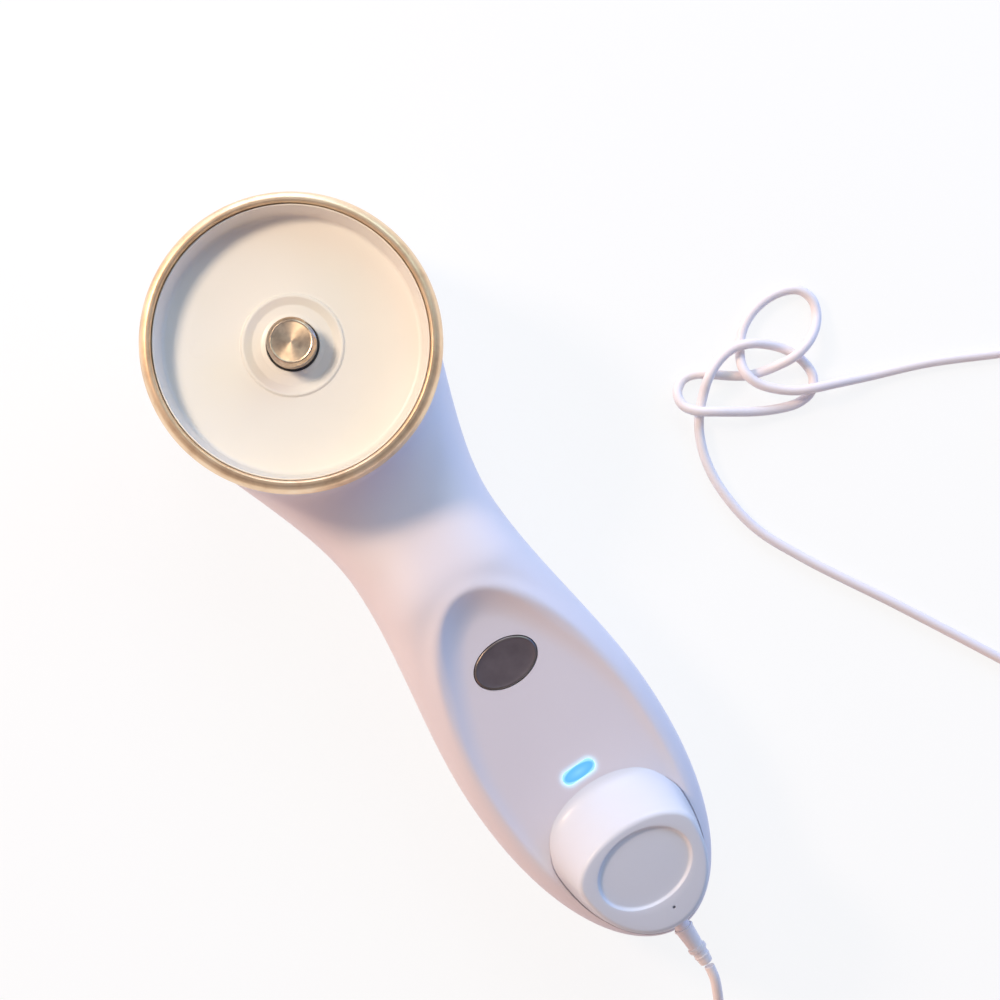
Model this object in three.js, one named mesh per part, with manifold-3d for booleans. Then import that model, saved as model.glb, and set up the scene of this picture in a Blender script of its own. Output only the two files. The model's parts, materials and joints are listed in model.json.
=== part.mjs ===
// Facial cleansing device lying on its back, with its magnetic charging puck on the tail of the handle.
// Millimetres, +Z up. The head is at +Y and the handle runs towards -Y; the back rests on Z = 0.
import * as THREE from 'three';
import { mergeVertices } from 'three/addons/utils/BufferGeometryUtils.js';
import Module from 'manifold-3d';

const wasm = await Module();
wasm.setup();

// Shared clearances
const seatGap = 0.3;
const runGap = 0.25;
const overrun = 1;

// Body outline: places are distances from the head's centre towards the tail
const headRadius = 27.7;
const headFilletWidth = 11;
const headFilletHeight = 12;
const ringSeatHeight = 29.7;
const partingHeight = 12.5;
const joinAngle = THREE.MathUtils.degToRad(18);
const neckPlace = 45;
const neckHalfWidth = 16.05;
const gripPlace = 92;
const gripHalfWidth = 20.9;
const tailPlace = 134.9;
const neckArch = 1.8;
const neckCrownPlace = 34;
const neckCrown = 22;
const shoulderPlace = 55;
const shoulderRise = 0.9;
const shoulderRun = 20;
const restCut = 0.35;
const wall = 1.8;

// Fullness exponents of the rounded sections, and how closely they are stepped
const neckCrownFullness = 2.4;
const gripCrownFullness = 4.5;
const bellyFullness = 2.6;
const tailPlanFullness = 2.15;
const tailCrownFullness = 8;
const tailBellyFullness = 2.6;
const sectionSides = 24;
const bodySteps = 10;
const tailSteps = 6;
const tipShare = 0.998;
const insideShare = 0.97;

// Dish in the handle: a tilted plane that also carries the button, the light and the puck
const dishPlace = 57.5;
const dishHeight = 24.6;
const dishTilt = THREE.MathUtils.degToRad(6);
const dishDepth = 1.3;
const dishSoftEdge = 1.2;
const dishWidest = 32;
const dishHalfWidth = 16.5;
const dishReach = 80;
const dishCutRise = 6;

// Head ring and cup
const ringOverhang = 0.6;
const ringWidth = 2.5;
const ringRadius = headRadius + ringOverhang;
const ringInnerRadius = ringRadius - ringWidth;
const ringHeight = 5.3;
const ringTop = ringSeatHeight + ringHeight;
const ringBead = 1.3;
const cupRadius = ringInnerRadius - seatGap;
const cupRimDrop = 1.6;
const cupRimHeight = ringTop - cupRimDrop;
const cupRimWall = 0.7;
const cupDepth = 8;
const cupFloorHeight = ringTop - cupDepth;
const cupTaper = 1.2;
const cupFloorRadius = cupRadius - cupTaper;
const cupFloorThickness = 1.6;
const bossRadius = 9.5;
const bossLip = 0.8;
const bossLipWidth = 0.7;
const ledgeWidth = 0.8;
const ledgeThickness = 1.6;

// Output shaft, its bearings and seal
const shaftHeadRadius = 4.65;
const shaftHeadDrop = 0.7;
const shaftHeadTop = ringTop - shaftHeadDrop;
const shaftHeadLift = 0.45;
const shaftChamfer = 0.9;
const shaftGrooveWidth = 0.6;
const shaftGrooveDepth = 0.45;
const shaftGroovePlace = 3.6;
const shaftFlatDepth = 0.5;
const shaftRadius = 2.5;
const bearingRadius = 5;
const bearingLength = 4;
const bearingWall = 1.4;
const bearingLip = 0.9;
const sealHeight = 2.1;

// Gearbox: plate, gears and motor
const plateTop = 11.3;
const plateThickness = 1.5;
const plateClearance = 1.5;
const plateRadius = headRadius - wall - plateClearance;
const lowerTubeHeight = 3.2;
const gearModuleShare = 0.02888;
const gearModule = headRadius * gearModuleShare;
const gearTeeth = 31;
const pinionTeeth = 10;
const toothRootShare = 1.25;
const gearWidth = 3;
const pinionExtra = 0.4;
const toothThinning = 0.2;
const pressureAngle = THREE.MathUtils.degToRad(25);
const hubWall = 0.6;
const clipRadius = 4.2;
const clipThickness = 0.8;
const motorRadius = 7.75;
const motorLength = 12;
const motorWall = 0.8;
const motorCapThickness = 1;
const motorShaftRadius = 1;
const rotorRadius = 6.2;
const rotorEndRoom = 1.2;
const postRadius = 2.5;
const postInset = 5.4;
const postCircle = plateRadius - postInset;
const screwRadius = 0.8;
const screwHeadRadius = 1.8;
const screwHeadHeight = 1.1;
const screwLength = 5;

// Board, switch, button and light; heights are measured down from the dish floor along its normal
const boardDepth = 6.3;
const boardThickness = 0.8;
const boardHalfWidth = 12.5;
const boardStart = -2;
const boardEnd = 46;
const boardBossRadius = 2.2;
const boardBossSide = 10.4;
const boardBossPlaces = [24, 44];
const buttonPlace = 15.1;
const buttonHalfLength = 6.6;
const buttonHalfWidth = 4.4;
const buttonProud = 0.2;
const buttonThickness = 1.1;
const buttonBevel = 0.35;
const buttonTravel = 0.5;
const stemRadius = 1.5;
const buttonSealWidth = 1.5;
const buttonSealThickness = 0.8;
const switchSize = 6;
const switchHeight = 2;
const plungerRadius = 1.3;
const plungerSink = 1;
const lightPlace = 40.7;
const lightLength = 7;
const lightWidth = 2.7;
const lightFlange = 0.8;
const lightFlangeThickness = 0.8;
const ledLength = 3;
const ledWidth = 1.5;
const ledHeight = 0.6;

// Battery and its cradle
const batteryStart = 71;
const batteryLength = 36;
const batteryHalfWidth = 10;
const batteryHeight = 5.6;
const batteryCorner = 2.4;
const cradleFloor = 5;
const cradleThickness = 0.9;
const cradleWallHeight = 4.6;
const ribThickness = 1.6;
const ribHalfWidth = 8;
const ribInset = 7;

// Joint band inside the two shells
const bandThickness = 1;
const bandHalfHeight = 0.9;
const bandClearance = 0.6;

// Charging puck, in the dish's own plane
const grooveSetback = 5.1;
const contactSetback = 4.8;
const puckHeight = 12;
const puckWall = 1.5;
const puckEdge = 1.5;
const puckPocketGap = 0.35;
const puckFoot = { front: 45.3, widest: 55.2, tail: 77.1, halfWidth: 14.5 };
const puckDraft = { front: 6.1, widest: 2.9, tail: -4, halfWidth: -1.75 };
const grooveCentre = puckFoot.widest + grooveSetback;
const grooveHalfLength = 9.45;
const grooveHalfWidth = 6.95;
const grooveWidth = 0.8;
const grooveDepth = 0.4;
const pinholePlace = 69.6;
const pinholeRadius = 0.45;
const puckBaseThickness = 1.4;
const contactPlace = puckFoot.widest + contactSetback;
const contactSide = 3.4;
const contactRadius = 1.6;
const contactLength = 3.8;
const pinRadius = 0.9;
const magnetRadius = 3;
const magnetThickness = 1.6;
const magnetSide = 9;
const puckBoardThickness = 0.8;
const puckBoardHeight = 5.6;
const puckPostRadius = 1.3;
const puckPostSide = 5.4;
const puckPostPlace = 66;

// Strain relief and charging lead
const reliefHeight = 4.5;
const reliefRootRadius = 2.2;
const reliefEndRadius = 1.35;
const reliefLength = 8.5;
const reliefRingPlace = 4.6;
const reliefRingRadius = 2.1;
const reliefRingWidth = 1;
const reliefNeckRadius = 1.5;
const leadRadius = 1;
const leadSides = 8;

// Wires inside the body
const wireRadius = 0.6;
const wireSides = 6;
const wireSteps = 8;
const wireSide = 3;
const wireSpread = 1.8;
const wireDipShares = [0.3, 0.65];

// Counts that set how round things are
const largeSides = 32;
const eggSides = 28;
const mediumSides = 20;
const smallSides = 12;
const arcSteps = 3;

// Closed bodies from geometries

// Welds a geometry, drops flat triangles and turns its faces outwards.
function sealed(geometry) {
  const bare = geometry.clone();
  bare.deleteAttribute('normal');
  bare.deleteAttribute('uv');
  const welded = mergeVertices(bare);
  const places = welded.attributes.position;
  const corner = [new THREE.Vector3(), new THREE.Vector3(), new THREE.Vector3()];
  const kept = [];
  let volume = 0;
  for (let i = 0; i < welded.index.count; i += 3) {
    const face = [0, 1, 2].map((k) => welded.index.getX(i + k));
    if (new Set(face).size < 3) continue;
    face.forEach((index, k) => corner[k].fromBufferAttribute(places, index));
    volume += corner[0].dot(corner[1].clone().cross(corner[2]));
    kept.push(face);
  }
  const ordered = volume < 0 ? kept.map(([a, b, c]) => [a, c, b]) : kept;
  welded.setIndex(ordered.flat());
  return welded;
}

function toSolid(geometry) {
  const closed = sealed(geometry);
  return new wasm.Manifold(new wasm.Mesh({
    numProp: 3,
    vertProperties: Float32Array.from(closed.attributes.position.array),
    triVerts: Uint32Array.from(closed.index.array),
  }));
}

function toGeometry(solid) {
  const mesh = solid.getMesh();
  const geometry = new THREE.BufferGeometry();
  geometry.setAttribute('position', new THREE.BufferAttribute(Float32Array.from(mesh.vertProperties), 3));
  geometry.setIndex(new THREE.BufferAttribute(Uint32Array.from(mesh.triVerts), 1));
  return geometry;
}

function joined(first, ...others) {
  return toGeometry(others.reduce((solid, other) => solid.add(toSolid(other)), toSolid(first)));
}

function cut(first, ...others) {
  return toGeometry(others.reduce((solid, other) => solid.subtract(toSolid(other)), toSolid(first)));
}

function common(first, second) {
  return toGeometry(toSolid(first).intersect(toSolid(second)));
}

// Shapes

// A turned piece about Z from [radius, height] points; it closes on itself when it is off the axis.
function turned(profile, sides = mediumSides) {
  const points = profile.map(([radius, height]) => new THREE.Vector2(radius, height));
  const onAxis = profile[0][0] === 0 && profile[profile.length - 1][0] === 0;
  if (!onAxis) points.push(points[0].clone());
  return sealed(new THREE.LatheGeometry(points, sides).rotateX(Math.PI / 2));
}

function rod(radius, bottom, top, sides = smallSides) {
  return turned([[0, bottom], [radius, bottom], [radius, top], [0, top]], sides);
}

function tubeRing(inner, outer, bottom, top, sides = mediumSides) {
  return turned([[inner, bottom], [outer, bottom], [outer, top], [inner, top]], sides);
}

function block(width, length, bottom, top) {
  return new THREE.BoxGeometry(width, length, top - bottom).translate(0, 0, (bottom + top) / 2);
}

// A closed skin over rings that all have the same number of points.
function loft(rings) {
  const count = rings[0].length;
  const last = (rings.length - 1) * count;
  const points = rings.flat();
  const faces = [];
  for (let ring = 0; ring < rings.length - 1; ring += 1) {
    for (let i = 0; i < count; i += 1) {
      const a = ring * count + i;
      const b = ring * count + ((i + 1) % count);
      faces.push(a, b, a + count, b, b + count, a + count);
    }
  }
  for (const [start, turn] of [[0, false], [last, true]]) {
    const middle = new THREE.Vector3();
    for (let i = 0; i < count; i += 1) middle.add(points[start + i]);
    points.push(middle.divideScalar(count));
    for (let i = 0; i < count; i += 1) {
      const a = start + i;
      const b = start + ((i + 1) % count);
      faces.push(points.length - 1, turn ? a : b, turn ? b : a);
    }
  }
  const geometry = new THREE.BufferGeometry().setFromPoints(points);
  geometry.setIndex(faces);
  return sealed(geometry);
}

function pressed(shape, bottom, top, curveSegments = smallSides) {
  const depth = top - bottom;
  const geometry = new THREE.ExtrudeGeometry(shape, { depth, bevelEnabled: false, curveSegments });
  return sealed(geometry.translate(0, 0, bottom));
}

function ellipseShape(halfLength, halfWidth) {
  const shape = new THREE.Shape();
  shape.absellipse(0, 0, halfLength, halfWidth, 0, 2 * Math.PI);
  return shape;
}

function slotShape(length, width) {
  const radius = width / 2;
  const reach = length / 2 - radius;
  const shape = new THREE.Shape();
  shape.absarc(reach, 0, radius, -Math.PI / 2, Math.PI / 2);
  shape.absarc(-reach, 0, radius, Math.PI / 2, 1.5 * Math.PI);
  shape.closePath();
  return shape;
}

function roundedRectangle(halfLength, halfWidth, radius) {
  const shape = new THREE.Shape();
  shape.absarc(halfLength - radius, halfWidth - radius, radius, 0, Math.PI / 2);
  shape.absarc(radius - halfLength, halfWidth - radius, radius, Math.PI / 2, Math.PI);
  shape.absarc(radius - halfLength, radius - halfWidth, radius, Math.PI, 1.5 * Math.PI);
  shape.absarc(halfLength - radius, radius - halfWidth, radius, 1.5 * Math.PI, 2 * Math.PI);
  shape.closePath();
  return shape;
}

function roundSection(radius, sides) {
  const corners = [];
  for (let i = 0; i < sides; i += 1) {
    const angle = 2 * Math.PI * i / sides;
    corners.push(new THREE.Vector2(radius * Math.cos(angle), radius * Math.sin(angle)));
  }
  return new THREE.Shape(corners);
}

function routeCurve(points) {
  return new THREE.CatmullRomCurve3(points.map((p) => new THREE.Vector3(...p)));
}

function tubeAlong(points, radius, sides, steps) {
  const settings = { steps, bevelEnabled: false, extrudePath: routeCurve(points) };
  return sealed(new THREE.ExtrudeGeometry(roundSection(radius, sides), settings));
}

function blend(from, to, share) {
  return from + (to - from) * share;
}

function smoothShare(value, from, to) {
  return THREE.MathUtils.smoothstep(value, from, to);
}

// Body outline

function halfWidthAt(place, inset) {
  const joinPlace = headRadius * Math.sin(joinAngle);
  if (place <= joinPlace) {
    const circle = Math.sqrt(headRadius ** 2 - place ** 2);
    return circle * blend(insideShare, 1, place / joinPlace) - inset;
  }
  if (place <= neckPlace) {
    const span = neckPlace - joinPlace;
    const t = (place - joinPlace) / span;
    const startWeight = 2 * t ** 3 - 3 * t ** 2 + 1;
    const slopeWeight = t ** 3 - 2 * t ** 2 + t;
    const start = headRadius * Math.cos(joinAngle);
    const slope = -Math.tan(joinAngle) * span;
    return start * startWeight + slope * slopeWeight + neckHalfWidth * (1 - startWeight) - inset;
  }
  if (place <= gripPlace) {
    return blend(neckHalfWidth, gripHalfWidth, smoothShare(place, neckPlace, gripPlace)) - inset;
  }
  const reach = (place - gripPlace) / (tailPlace - inset - gripPlace);
  return (gripHalfWidth - inset) * Math.sqrt(1 - reach ** tailPlanFullness);
}

// How far the body is closed in at the tail, from 1 at the grip to 0 at the tip.
function tailClosing(place, inset, fullness) {
  if (place <= gripPlace) return 1;
  const reach = (place - gripPlace) / (tailPlace - inset - gripPlace);
  return (1 - reach ** fullness) ** (1 / fullness);
}

// The shoulder that stands up in front of the dish and fades beside it
function shoulderLift(place) {
  if (place < shoulderPlace) return shoulderRise * smoothShare(place, neckCrownPlace, shoulderPlace);
  return shoulderRise * (1 - smoothShare(place, shoulderPlace, shoulderPlace + shoulderRun));
}

function dishLine(place) {
  return dishHeight + dishDepth - (place - dishPlace) * Math.tan(dishTilt);
}

function crownLine(place) {
  if (place >= shoulderPlace) return dishLine(place) + shoulderLift(place);
  const toShoulder = smoothShare(place, neckCrownPlace, shoulderPlace);
  return blend(neckCrown, dishLine(shoulderPlace), toShoulder) + shoulderLift(place);
}

function bellyLine(place) {
  const toNeck = smoothShare(place, 0, neckPlace);
  const toGrip = smoothShare(place, neckPlace, gripPlace);
  return place <= neckPlace ? neckArch * toNeck : blend(neckArch, -restCut, toGrip);
}

function bodySection(place, inset) {
  const halfWidth = halfWidthAt(place, inset);
  const underDish = dishDepth * smoothShare(place, neckPlace, dishPlace) + shoulderLift(place);
  const dishInset = inset > 0 ? underDish : 0;
  const crown = (crownLine(place) - inset - dishInset - partingHeight)
    * tailClosing(place, inset, tailCrownFullness);
  const belly = (partingHeight - bellyLine(place) - inset) * tailClosing(place, inset, tailBellyFullness);
  const crownFullness = blend(neckCrownFullness, gripCrownFullness, smoothShare(place, neckPlace, gripPlace));
  const ring = [];
  for (let i = 0; i < sectionSides; i += 1) {
    const angle = 2 * Math.PI * i / sectionSides;
    const across = Math.cos(angle);
    const up = Math.sin(angle);
    const fullness = up > 0 ? crownFullness : bellyFullness;
    const rise = up > 0 ? crown : belly;
    ring.push(new THREE.Vector3(
      halfWidth * Math.sign(across) * Math.abs(across) ** (2 / fullness),
      -place,
      partingHeight + rise * Math.sign(up) * Math.abs(up) ** (2 / fullness),
    ));
  }
  return ring;
}

function bodyLoft(inset) {
  const rings = [];
  for (let i = 0; i < bodySteps; i += 1) rings.push(bodySection(gripPlace * i / bodySteps, inset));
  for (let i = 0; i <= tailSteps; i += 1) {
    const share = Math.min(Math.sin(Math.PI / 2 * i / tailSteps), tipShare);
    rings.push(bodySection(gripPlace + (tailPlace - inset - gripPlace) * share, inset));
  }
  return loft(rings);
}

function headDrum(inset) {
  const profile = [[0, inset]];
  const flat = headRadius - headFilletWidth;
  for (let i = 0; i <= arcSteps; i += 1) {
    const angle = Math.PI / 2 * i / arcSteps;
    const radius = flat + (headFilletWidth - inset) * Math.sin(angle);
    profile.push([radius, headFilletHeight - (headFilletHeight - inset) * Math.cos(angle)]);
  }
  profile.push([headRadius - inset, ringSeatHeight - inset], [0, ringSeatHeight - inset]);
  return turned(profile, largeSides);
}

// Places on the tilted plane of the dish: along the handle, across it, and up along the normal
const dishMatrix = new THREE.Matrix4().makeRotationX(dishTilt).setPosition(0, -dishPlace, dishHeight);

function onDish(geometry, along = 0, across = 0) {
  return geometry.translate(across, -along, 0).applyMatrix4(dishMatrix);
}

function eggRing(egg, height, inset) {
  const ring = [];
  for (let i = 0; i < eggSides; i += 1) {
    const angle = 2 * Math.PI * i / eggSides;
    const towardsTail = Math.cos(angle);
    const reach = towardsTail > 0 ? egg.tail - egg.widest : egg.widest - egg.front;
    const along = egg.widest + (reach - inset) * towardsTail;
    ring.push(new THREE.Vector3((egg.halfWidth - inset) * Math.sin(angle), -along, height));
  }
  return ring;
}

function puckEgg(height) {
  const share = THREE.MathUtils.clamp(height / puckHeight, 0, 1);
  const keys = Object.keys(puckFoot);
  return Object.fromEntries(keys.map((key) => [key, puckFoot[key] + puckDraft[key] * share]));
}

// Shells

const dishEgg = { front: 0, widest: dishWidest, tail: dishReach, halfWidth: dishHalfWidth };
const dishCutter = onDish(loft([
  eggRing(dishEgg, 0, dishSoftEdge),
  eggRing(dishEgg, dishDepth, 0),
  eggRing(dishEgg, dishDepth + dishCutRise, -dishSoftEdge),
]));
const pocketCutter = onDish(loft([
  eggRing(puckFoot, 0, -puckPocketGap),
  eggRing(puckFoot, dishDepth + dishCutRise, -puckPocketGap),
]));

const bodyOutside = joined(headDrum(0), bodyLoft(0));
const bodyInside = joined(headDrum(wall), bodyLoft(wall));
const bodySpan = 2 * (tailPlace + headRadius);
const jointHalf = seatGap / 2;

function holeOnDish(shape, along, across = 0) {
  return onDish(pressed(shape, -boardDepth, overrun, 2 * arcSteps), along, across);
}

function boardBosses() {
  return boardBossPlaces.flatMap((along) => [-boardBossSide, boardBossSide].map((across) => cut(
    onDish(rod(boardBossRadius, -boardDepth + seatGap, -wall / 2), along, across),
    onDish(rod(screwRadius + runGap, -boardDepth, -wall - dishDepth), along, across),
  )));
}

function frontShell() {
  const upper = block(bodySpan, bodySpan, partingHeight + jointHalf, ringTop);
  const ledgeTop = cupFloorHeight - cupFloorThickness - seatGap;
  const ledge = tubeRing(
    cupRadius - ledgeWidth, headRadius - wall / 2, ledgeTop - ledgeThickness, ledgeTop, largeSides,
  );
  const shell = cut(
    common(bodyOutside, upper),
    bodyInside,
    rod(cupRadius + seatGap, ledgeTop, ringTop, largeSides),
    dishCutter,
    pocketCutter,
    holeOnDish(ellipseShape(buttonHalfLength + runGap, buttonHalfWidth + runGap), buttonPlace),
    holeOnDish(slotShape(lightLength + 2 * runGap, lightWidth + 2 * runGap), lightPlace),
    holeOnDish(ellipseShape(contactRadius + runGap, contactRadius + runGap), contactPlace, -contactSide),
    holeOnDish(ellipseShape(contactRadius + runGap, contactRadius + runGap), contactPlace, contactSide),
  );
  return joined(shell, ledge, ...boardBosses());
}

function rearShell() {
  const lower = block(bodySpan, bodySpan, 0, partingHeight - jointHalf);
  const ribs = [batteryStart + ribInset, batteryStart + batteryLength - ribInset].map((place) => common(
    block(2 * ribHalfWidth, ribThickness, 0, cradleFloor - seatGap).translate(0, -place, 0),
    bodyOutside,
  ));
  return joined(cut(common(bodyOutside, lower), bodyInside), ...ribs.map((rib) => common(rib, lower)));
}

// A band that lies against the inside of both shells and keeps the joint tight.
function jointBand() {
  const bottom = partingHeight - bandHalfHeight;
  const top = partingHeight + bandHalfHeight;
  const inset = wall + bandClearance;
  const slab = block(bodySpan, bodySpan, bottom, top);
  const outer = common(joined(headDrum(inset), bodyLoft(inset)), slab);
  const inner = joined(headDrum(inset + bandThickness), bodyLoft(inset + bandThickness));
  return cut(outer, inner);
}

// Head

function headRing() {
  const bottom = ringSeatHeight + seatGap;
  const middle = (ringRadius + ringInnerRadius) / 2;
  const profile = [[ringInnerRadius, bottom], [ringRadius, bottom]];
  for (let i = 0; i <= arcSteps; i += 1) {
    const angle = Math.PI * i / arcSteps;
    profile.push([
      middle + (ringRadius - middle) * Math.cos(angle),
      ringTop - ringBead + ringBead * Math.sin(angle),
    ]);
  }
  return turned(profile, largeSides);
}

const bearingHole = bearingRadius + seatGap;
const upperBearingTop = cupFloorHeight - cupFloorThickness - seatGap - seatGap;
const upperBearingBottom = upperBearingTop - bearingLength;
const shaftHole = shaftRadius + runGap;

function headCup() {
  const underside = cupFloorHeight - cupFloorThickness;
  const tubeEnd = upperBearingBottom - seatGap;
  const cup = turned([
    [bearingHole, tubeEnd], [bearingHole - bearingLip, tubeEnd],
    [bearingHole - bearingLip, tubeEnd - bearingLip],
    [bearingHole + bearingWall, tubeEnd - bearingLip], [bearingHole + bearingWall, underside],
    [cupRadius, underside], [cupRadius, cupRimHeight], [cupRadius - cupRimWall, cupRimHeight],
    [cupFloorRadius, cupFloorHeight], [bossRadius, cupFloorHeight],
    [bossRadius - bossLipWidth / 2, cupFloorHeight + bossLip],
    [bossRadius - bossLipWidth, cupFloorHeight + bossLip],
    [bearingHole, cupFloorHeight],
  ], largeSides);
  const posts = screwPlaces().map(([x, y]) => cut(
    rod(postRadius, plateTop + seatGap, underside + cupFloorThickness / 2).translate(x, y, 0),
    rod(screwRadius + runGap, plateTop, plateTop + screwLength).translate(x, y, 0),
  ));
  return joined(cup, ...posts);
}

function screwPlaces() {
  return [[-postCircle, 0], [0, postCircle], [postCircle, 0]];
}

function outputShaft() {
  const headBottom = cupFloorHeight + shaftHeadLift;
  const grooveTop = shaftHeadTop - shaftGroovePlace;
  const grooved = shaftHeadRadius - shaftGrooveDepth;
  const bottom = gearBottom - seatGap - clipThickness - overrun;
  const shaft = turned([
    [0, bottom], [shaftRadius, bottom],
    [shaftRadius, headBottom], [shaftHeadRadius, headBottom],
    [shaftHeadRadius, grooveTop - shaftGrooveWidth], [grooved, grooveTop - shaftGrooveWidth / 2],
    [grooved, grooveTop], [shaftHeadRadius, grooveTop],
    [shaftHeadRadius, shaftHeadTop - shaftChamfer], [shaftHeadRadius - shaftChamfer, shaftHeadTop],
    [0, shaftHeadTop],
  ]);
  const flat = block(shaftHeadRadius, 2 * shaftHeadRadius, grooveTop, ringTop)
    .translate(shaftHeadRadius + shaftHeadRadius / 2 - shaftFlatDepth, 0, 0);
  return cut(shaft, flat);
}

function bearing(bottom) {
  return tubeRing(shaftHole, bearingRadius, bottom, bottom + bearingLength);
}

function shaftSeal() {
  return tubeRing(shaftHole, bearingRadius, upperBearingTop + seatGap, upperBearingTop + sealHeight);
}

// Gearbox

const gearPitch = gearModule * gearTeeth / 2;
const pinionPitch = gearModule * pinionTeeth / 2;
const motorPlace = gearPitch + pinionPitch;
const plateBottom = plateTop - plateThickness;
const gearTop = plateBottom - 2 * seatGap;
const gearBottom = gearTop - gearWidth;
const lowerBearingBottom = plateTop + seatGap;
const motorBottom = plateTop + seatGap;
const motorShaftEnd = gearBottom - pinionExtra;

// A gear with straight flanks between the involute's ends and a tooth centred on angle zero.
function gearShape(teeth, bore) {
  const pitch = gearModule * teeth / 2;
  const base = pitch * Math.cos(pressureAngle);
  const tip = pitch + gearModule;
  const root = pitch - toothRootShare * gearModule;
  const involute = (radius) => {
    const angle = Math.acos(Math.min(base / radius, 1));
    return Math.tan(angle) - angle;
  };
  const halfTooth = Math.PI / (2 * teeth) - toothThinning / (2 * pitch);
  const halfAt = (radius) => halfTooth + involute(pitch) - involute(Math.max(radius, base));
  const corners = [];
  for (let tooth = 0; tooth < teeth; tooth += 1) {
    const centre = 2 * Math.PI * tooth / teeth;
    for (const [radius, side] of [[root, -1], [tip, -1], [tip, 1], [root, 1]]) {
      const angle = centre + side * halfAt(radius);
      corners.push(new THREE.Vector2(radius * Math.cos(angle), radius * Math.sin(angle)));
    }
  }
  const shape = new THREE.Shape(corners);
  shape.holes.push(new THREE.Path().absarc(0, 0, bore, 0, 2 * Math.PI, true));
  return shape;
}

function outputGear() {
  const wheel = pressed(gearShape(gearTeeth, shaftHole), gearBottom, gearTop).rotateZ(-Math.PI / 2);
  const hub = tubeRing(shaftHole, shaftHole + hubWall, gearTop - gearWidth / 2, lowerBearingBottom - runGap);
  return joined(wheel, hub);
}

function motorPinion() {
  const turn = Math.PI / 2 + Math.PI / pinionTeeth;
  return pressed(gearShape(pinionTeeth, motorShaftRadius + runGap), motorShaftEnd, gearTop)
    .rotateZ(turn).translate(0, -motorPlace, 0);
}

function shaftClip() {
  const top = gearBottom - seatGap;
  return tubeRing(shaftHole, clipRadius, top - clipThickness, top, smallSides);
}

function gearboxPlate() {
  const hub = shaftHole + hubWall + seatGap;
  const plate = tubeRing(hub, plateRadius, plateBottom, plateTop, largeSides);
  const seat = tubeRing(
    bearingHole, bearingHole + bearingWall, plateTop - plateThickness / 2, plateTop + lowerTubeHeight,
  );
  const motorHole = rod(2 * motorShaftRadius, plateBottom - overrun, plateTop + overrun)
    .translate(0, -motorPlace, 0);
  const screwHoles = screwPlaces().map(([x, y]) => rod(
    screwRadius + seatGap, plateBottom - overrun, plateTop + overrun,
  ).translate(x, y, 0));
  return cut(joined(plate, seat), motorHole, ...screwHoles);
}

function screw(headTop, end) {
  return turned([
    [0, headTop - screwHeadHeight], [screwHeadRadius, headTop - screwHeadHeight],
    [screwHeadRadius, headTop], [screwRadius, headTop], [screwRadius, end], [0, end],
  ], smallSides);
}

function gearboxScrew([x, y]) {
  return screw(plateBottom - seatGap, plateTop + screwLength - overrun).translate(x, y, 0);
}

function motorCan() {
  const top = motorBottom + motorLength;
  const hole = motorShaftRadius + 2 * runGap;
  return turned([
    [hole, motorBottom], [motorRadius, motorBottom], [motorRadius, top], [motorRadius - motorWall, top],
    [motorRadius - motorWall, motorBottom + motorWall], [hole, motorBottom + motorWall],
  ]).translate(0, -motorPlace, 0);
}

function motorEndCap() {
  const seat = motorBottom + motorLength + seatGap;
  const spigot = motorRadius - motorWall - seatGap;
  const pocket = motorShaftRadius + runGap;
  return turned([
    [0, seat + motorCapThickness], [motorRadius, seat + motorCapThickness],
    [motorRadius, seat], [spigot, seat], [spigot, seat - motorCapThickness],
    [pocket, seat - motorCapThickness], [pocket, seat], [0, seat],
  ]).translate(0, -motorPlace, 0);
}

function motorRotor() {
  const bottom = motorBottom + motorWall + rotorEndRoom;
  const top = motorBottom + motorLength - motorCapThickness - rotorEndRoom;
  const shaftTop = motorBottom + motorLength - runGap;
  return turned([
    [0, motorShaftEnd], [motorShaftRadius, motorShaftEnd], [motorShaftRadius, bottom], [rotorRadius, bottom],
    [rotorRadius, top], [motorShaftRadius, top], [motorShaftRadius, shaftTop], [0, shaftTop],
  ]).translate(0, -motorPlace, 0);
}

// Handle parts on the dish plane

const shellUnderside = -wall - seatGap;
const sealBottom = shellUnderside - buttonSealThickness;

function buttonCap() {
  const rim = ellipseShape(buttonHalfLength, buttonHalfWidth);
  const top = ellipseShape(buttonHalfLength - buttonBevel, buttonHalfWidth - buttonBevel);
  const cap = joined(
    pressed(rim, buttonProud - buttonThickness, buttonProud - buttonBevel),
    pressed(top, buttonProud - buttonThickness / 2, buttonProud),
    rod(stemRadius, sealBottom - runGap, -buttonThickness / 2),
  );
  return onDish(cap, buttonPlace);
}

function buttonSeal() {
  const shape = ellipseShape(buttonHalfLength + buttonSealWidth, buttonHalfWidth + buttonSealWidth);
  shape.holes.push(new THREE.Path().absarc(0, 0, stemRadius + 2 * runGap, 0, 2 * Math.PI, true));
  return onDish(pressed(shape, sealBottom, shellUnderside), buttonPlace);
}

const switchBottom = -boardDepth + seatGap;
const switchTop = switchBottom + switchHeight;
const plungerTop = sealBottom - runGap - seatGap;

function tactSwitch() {
  const housing = block(switchSize, switchSize, switchBottom, switchTop);
  const wellBottom = switchTop - plungerSink - buttonTravel - seatGap;
  const well = rod(plungerRadius + runGap, wellBottom, switchTop + overrun);
  return onDish(cut(housing, well), buttonPlace);
}

function switchPlunger() {
  return onDish(rod(plungerRadius, switchTop - plungerSink, plungerTop), buttonPlace);
}

function lightPipe() {
  const pipe = joined(
    pressed(slotShape(lightLength, lightWidth), switchBottom + ledHeight + seatGap, runGap / 2, arcSteps),
    pressed(
      slotShape(lightLength + 2 * lightFlange, lightWidth + 2 * lightFlange),
      shellUnderside - lightFlangeThickness, shellUnderside, arcSteps,
    ),
  );
  return onDish(pipe, lightPlace);
}

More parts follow.
